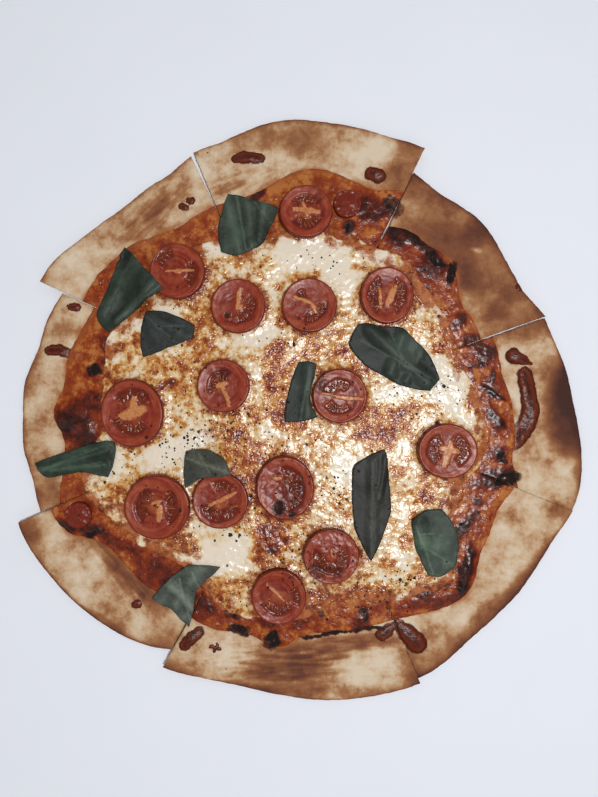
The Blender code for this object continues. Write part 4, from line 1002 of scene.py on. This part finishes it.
def make_tomato(number, material):
    """A baked half tomato, turned in rings from the middle of its cut face to the middle of its underside."""
    random = np.random.default_rng(SEED + number)
    middle, half, low, high = tomato_box(number)
    tall = high - low
    spokes = all_round(TOMATO_SIDES)
    solid = Solid(f"tomato_{number:02d}")
    rim = np.array([solid.points[np.argmax(solid.points[:, :2] @ spoke)][:2] for spoke in spokes])
    reach = np.linalg.norm((rim - middle[:2]) / half[:2], axis=1)
    reach = np.convolve(np.tile(reach, 3), np.ones(9) / 9, "same")[TOMATO_SIDES:2 * TOMATO_SIDES] * 0.5 + 0.49
    shares = [(ring + 1) / FACE_RINGS for ring in range(FACE_RINGS)]
    face = [(FACE_EDGE * share, TOMATO_DISH + TOMATO_RIM * share ** 3) for share in shares]
    profile = face + list(TOMATO_WALL)
    disk, levels = turned(profile, spokes * reach[:, None], TOMATO_DISH, 0.0)
    on_face = (np.arange(len(disk)) <= FACE_RINGS * TOMATO_SIDES).astype(float)
    radius = np.linalg.norm(disk, axis=1)
    place = disk * half[0] + 40 * number
    masks = {name: mask * on_face for name, mask in face_masks(number, disk, random).items()}
    rings = lumps(np.stack([radius * 11, np.zeros(len(disk))], axis=1) + disk * 2.5, 1.0, 60 + number)
    wrinkled = 1.0 + 1.8 * (number in WRINKLED)
    relief = 0.22 * masks["core"] - 0.40 * masks["gel"] + 0.35 * masks["seed"] + 0.05 * rings * on_face
    relief += wrinkled * (0.08 * lumps(place, 3.2, 61) + 0.03 * lumps(place, 1.3, 62))
    relief -= 0.25 * masks["scorch"] * (0.5 + lumps(place, 1.6, 63))
    if number in DOMED:
        relief += 1.3 * (1 - radius ** 2) * on_face - 0.4 * on_face
    heights = low + tall * TOMATO_FULL * levels + relief * (levels > 0.5)
    points = np.column_stack([middle[:2] + disk * half[:2], heights])
    faces = turned_faces(len(profile), TOMATO_SIDES, from_top=True)
    masks["glow"] = np.clip(0.72 - radius, 0, 1) * (0.5 + lumps(disk, 0.35, 64 + number)) * on_face
    masks["skin"] = ramp(radius, FACE_EDGE, 0.98)
    masks["ring"] = rings * on_face + 0.5 * ramp(radius, 0.62, 0.80) * on_face
    new_piece(f"half_tomato_{number:02d}", points, faces, masks, material, [f"tomato_{number:02d}"])


def make_end(number, material):
    """A small end piece of tomato: a domed, wrinkled cap."""
    node = f"tomato_end_{number}"
    solid = Solid(node)
    low, high = (np.array(corner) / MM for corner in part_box(node))
    middle = (low + high) / 2
    half = (high - low) / 2
    disk, levels = turned(END_WALL, all_round(END_SIDES), 0.0, 1.0)
    plan = middle[:2] + disk * half[:2] * (1 + 0.05 * lumps(disk, 0.7, 70 + number))[:, None]
    ground = solid.heights(plan * 0.999, from_above=False)
    wrinkles = 0.22 * lumps(plan, 1.9, 71) + 0.12 * lumps(plan, 0.9, 72)
    points = np.column_stack([plan, ground + levels * END_HEIGHT + wrinkles * (levels > 0.3)])
    faces = turned_faces(len(END_WALL), END_SIDES, from_top=False)
    masks = {name: np.zeros(len(points)) for name in ("core", "seed", "glow", "ring")}
    masks["gel"] = np.full(len(points), 0.6)
    masks["skin"] = np.full(len(points), 0.6)
    masks["scorch"] = 0.4 * ramp(lumps(plan, 3, 73), 0.1, 0.6)
    new_piece(f"end_piece_{number}", points, faces, masks, material, [node])


def make_leaf(node):
    """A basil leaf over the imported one: creased along its folds, veined and a little blistered."""
    tint, folds, veins = LEAVES[node]
    solid = Solid(node)
    coarse_loop = solid.loop()
    loop = refined(coarse_loop, LEAF_STEP, 0.25, 3.0, 8, corner=50)
    plan = grid(coarse_loop, LEAF_STEP, SEED)
    flat, faces = triangulated(loop, plan)
    heights = smoothed(solid.heights(flat), faces, 22)
    raised = np.zeros(len(flat))
    for *stroke, width, height in folds:
        away, _share = stroke_distance(flat, stroke)
        raised = np.maximum(raised, height * (1 - ramp(away / width, 0.0, 1.0)))
    vein = np.zeros(len(flat))
    for *stroke, width in veins:
        away, share = stroke_distance(warped(flat, 0.4, 5, 81), stroke)
        vein = np.maximum(vein, 1 - ramp(away / (width * (1.3 - 0.6 * share)), 0.4, 1.6))
    edge = ramp(edge_distance(coarse_loop, flat), 0.0, 2.5)
    blister = 0.16 * lumps(flat, 4.5, 82) + 0.04 * lumps(flat, 2.0, 83)
    heights += raised * (0.4 + 0.6 * edge) + blister * edge - 0.35 * vein + 0.5 * lumps(flat, 11, 84)
    heights = np.maximum(heights, solid.heights(flat) - 0.1)
    count = len(flat)
    points = np.vstack([np.column_stack([flat, heights]), np.column_stack([flat, heights - LEAF_THICK])])
    all_faces = list(faces) + [(c + count, b + count, a + count) for a, b, c in faces]
    all_faces += band(0, count, len(loop))
    # Painted light and shade on the leaf's facets, carried as its shade mask.
    shade = patches(warped(flat, 1.5, 5, 85), LEAF_PAINTED_LIGHT_AND_SHADE, 0.6)
    masks = {"vein": np.tile(vein, 2), "raised": np.tile(raised, 2), "shade": np.tile(shade, 2)}
    new_piece(node.replace("basil", "leaf"), points, all_faces, masks, leaf_finish(node, tint), [node])


def landing(plan):
    """The highest shown surface under each point, found on the finished pieces."""
    depsgraph = bpy.context.evaluated_depsgraph_get()
    down = Vector((0, 0, -1))
    found = []
    for x, y in plan:
        start = Vector((x, y, FAR_AWAY)) * MM
        hit, place, *_rest = bpy.context.scene.ray_cast(depsgraph, start, down)
        found.append(place.z / MM if hit else 0.0)
    return np.array(found)


def make_pepper(material):
    """Ground pepper, scattered as small broken grains over the topping."""
    random = np.random.default_rng(SEED)
    places = []
    for x, y, length, width, turn, count in PEPPER:
        for _grain in range(count):
            u, v = random.normal(0, PEPPER_SCATTER, 2)
            places.append(np.array([x, y]) + u * length * direction(turn) + v * width * direction(turn + 90))
    points = []
    faces = []
    for (x, y), level in zip(places, landing(places)):
        if level < LOWEST_TOPPING:
            continue
        size = PEPPER_SIZE * random.lognormal(0, PEPPER_UNEVEN)
        c, s = direction(random.uniform(0, 360))
        start = len(points)
        for corner in SPECK:
            u, v, w = (side * size * random.uniform(0.7, 1.3) for side in corner)
            points.append((x + u * c - v * s, y + u * s + v * c, level + 0.35 * size + w))
        for a in range(5):
            b = (a + 1) % 5
            faces += [(start + a, start + b, start + 5), (start + b, start + a, start + 6)]
    new_piece("ground_pepper", points, faces, {}, material, [])


def add_light(name, place, energy, size):
    """A round lamp that shines at the middle of the pizza. Its energy is in watts."""
    light = bpy.data.lights.new(name, "AREA")
    light.shape = "DISK"
    light.energy = energy
    light.size = size
    lamp = bpy.data.objects.new(name, light)
    lamp.location = place
    lamp.rotation_euler = (-Vector(place)).to_track_quat("-Z", "Y").to_euler()
    bpy.context.scene.collection.objects.link(lamp)


def add_floor():
    mesh = bpy.data.meshes.new("floor")
    corners = [(x * FLOOR_HALF, y * FLOOR_HALF, 0) for x, y in ((-1, -1), (1, -1), (1, 1), (-1, 1))]
    mesh.from_pydata(corners, [], [(0, 1, 2, 3)])
    paint = Paint("pale floor", IOR=1.3)
    colour = paint.mix(paint.grain(60) * 0.5 + 0.5, srgb(228, 231, 239), srgb(231, 234, 242))
    mesh.materials.append(paint.finish(colour, 0.7))
    floor = bpy.data.objects.new("floor", mesh)
    floor.location = (0, 0, -FLOOR_GAP)
    bpy.context.scene.collection.objects.link(floor)


def add_studio():
    """Soft light from all sides, a smaller lamp overhead for the glints, and the camera straight above."""
    world = bpy.data.worlds.new("soft light")
    world.use_nodes = True
    sky = world.node_tree.nodes["Background"].inputs
    sky["Color"].default_value = SKY_TINT
    sky["Strength"].default_value = SKY
    scene = bpy.context.scene
    scene.world = world
    scene.view_settings.view_transform = "Standard"
    for number in range(SIDE_LAMPS):
        side = direction(SIDE_TURN + 360 / SIDE_LAMPS * number)
        add_light(f"side_{number}", (*side, SIDE_HEIGHT), SIDE_LAMP, SIDE_SIZE)
    add_light("overhead", KEY_PLACE, KEY_LAMP, KEY_SIZE)
    camera = bpy.data.cameras.new("camera")
    camera.lens = LENS
    camera.sensor_width = SENSOR
    camera.clip_start = NEAREST
    holder = bpy.data.objects.new("camera", camera)
    holder.location = Vector((*VIEW_MIDDLE, CAMERA_HEIGHT)) * MM
    scene.collection.objects.link(holder)
    scene.camera = holder


def build():
    crust = crust_finish()
    sauce = sauce_finish()
    tomato = tomato_finish()
    cheese_loop = Solid("cheese").loop()
    for name in SLICES:
        make_crust(name, crust)
        make_sauce(name, cheese_loop, sauce)
    make_cheese(cheese_loop, cheese_finish())
    for number in TOMATO_FACES:
        make_tomato(number, tomato)
    for number in (1, 2):
        make_end(number, tomato)
    for node in LEAVES:
        make_leaf(node)
    make_pepper(plain_finish("ground pepper", (32, 26, 24), 0.7, 0.3, 0.05))
    add_floor()
    add_studio()


build()
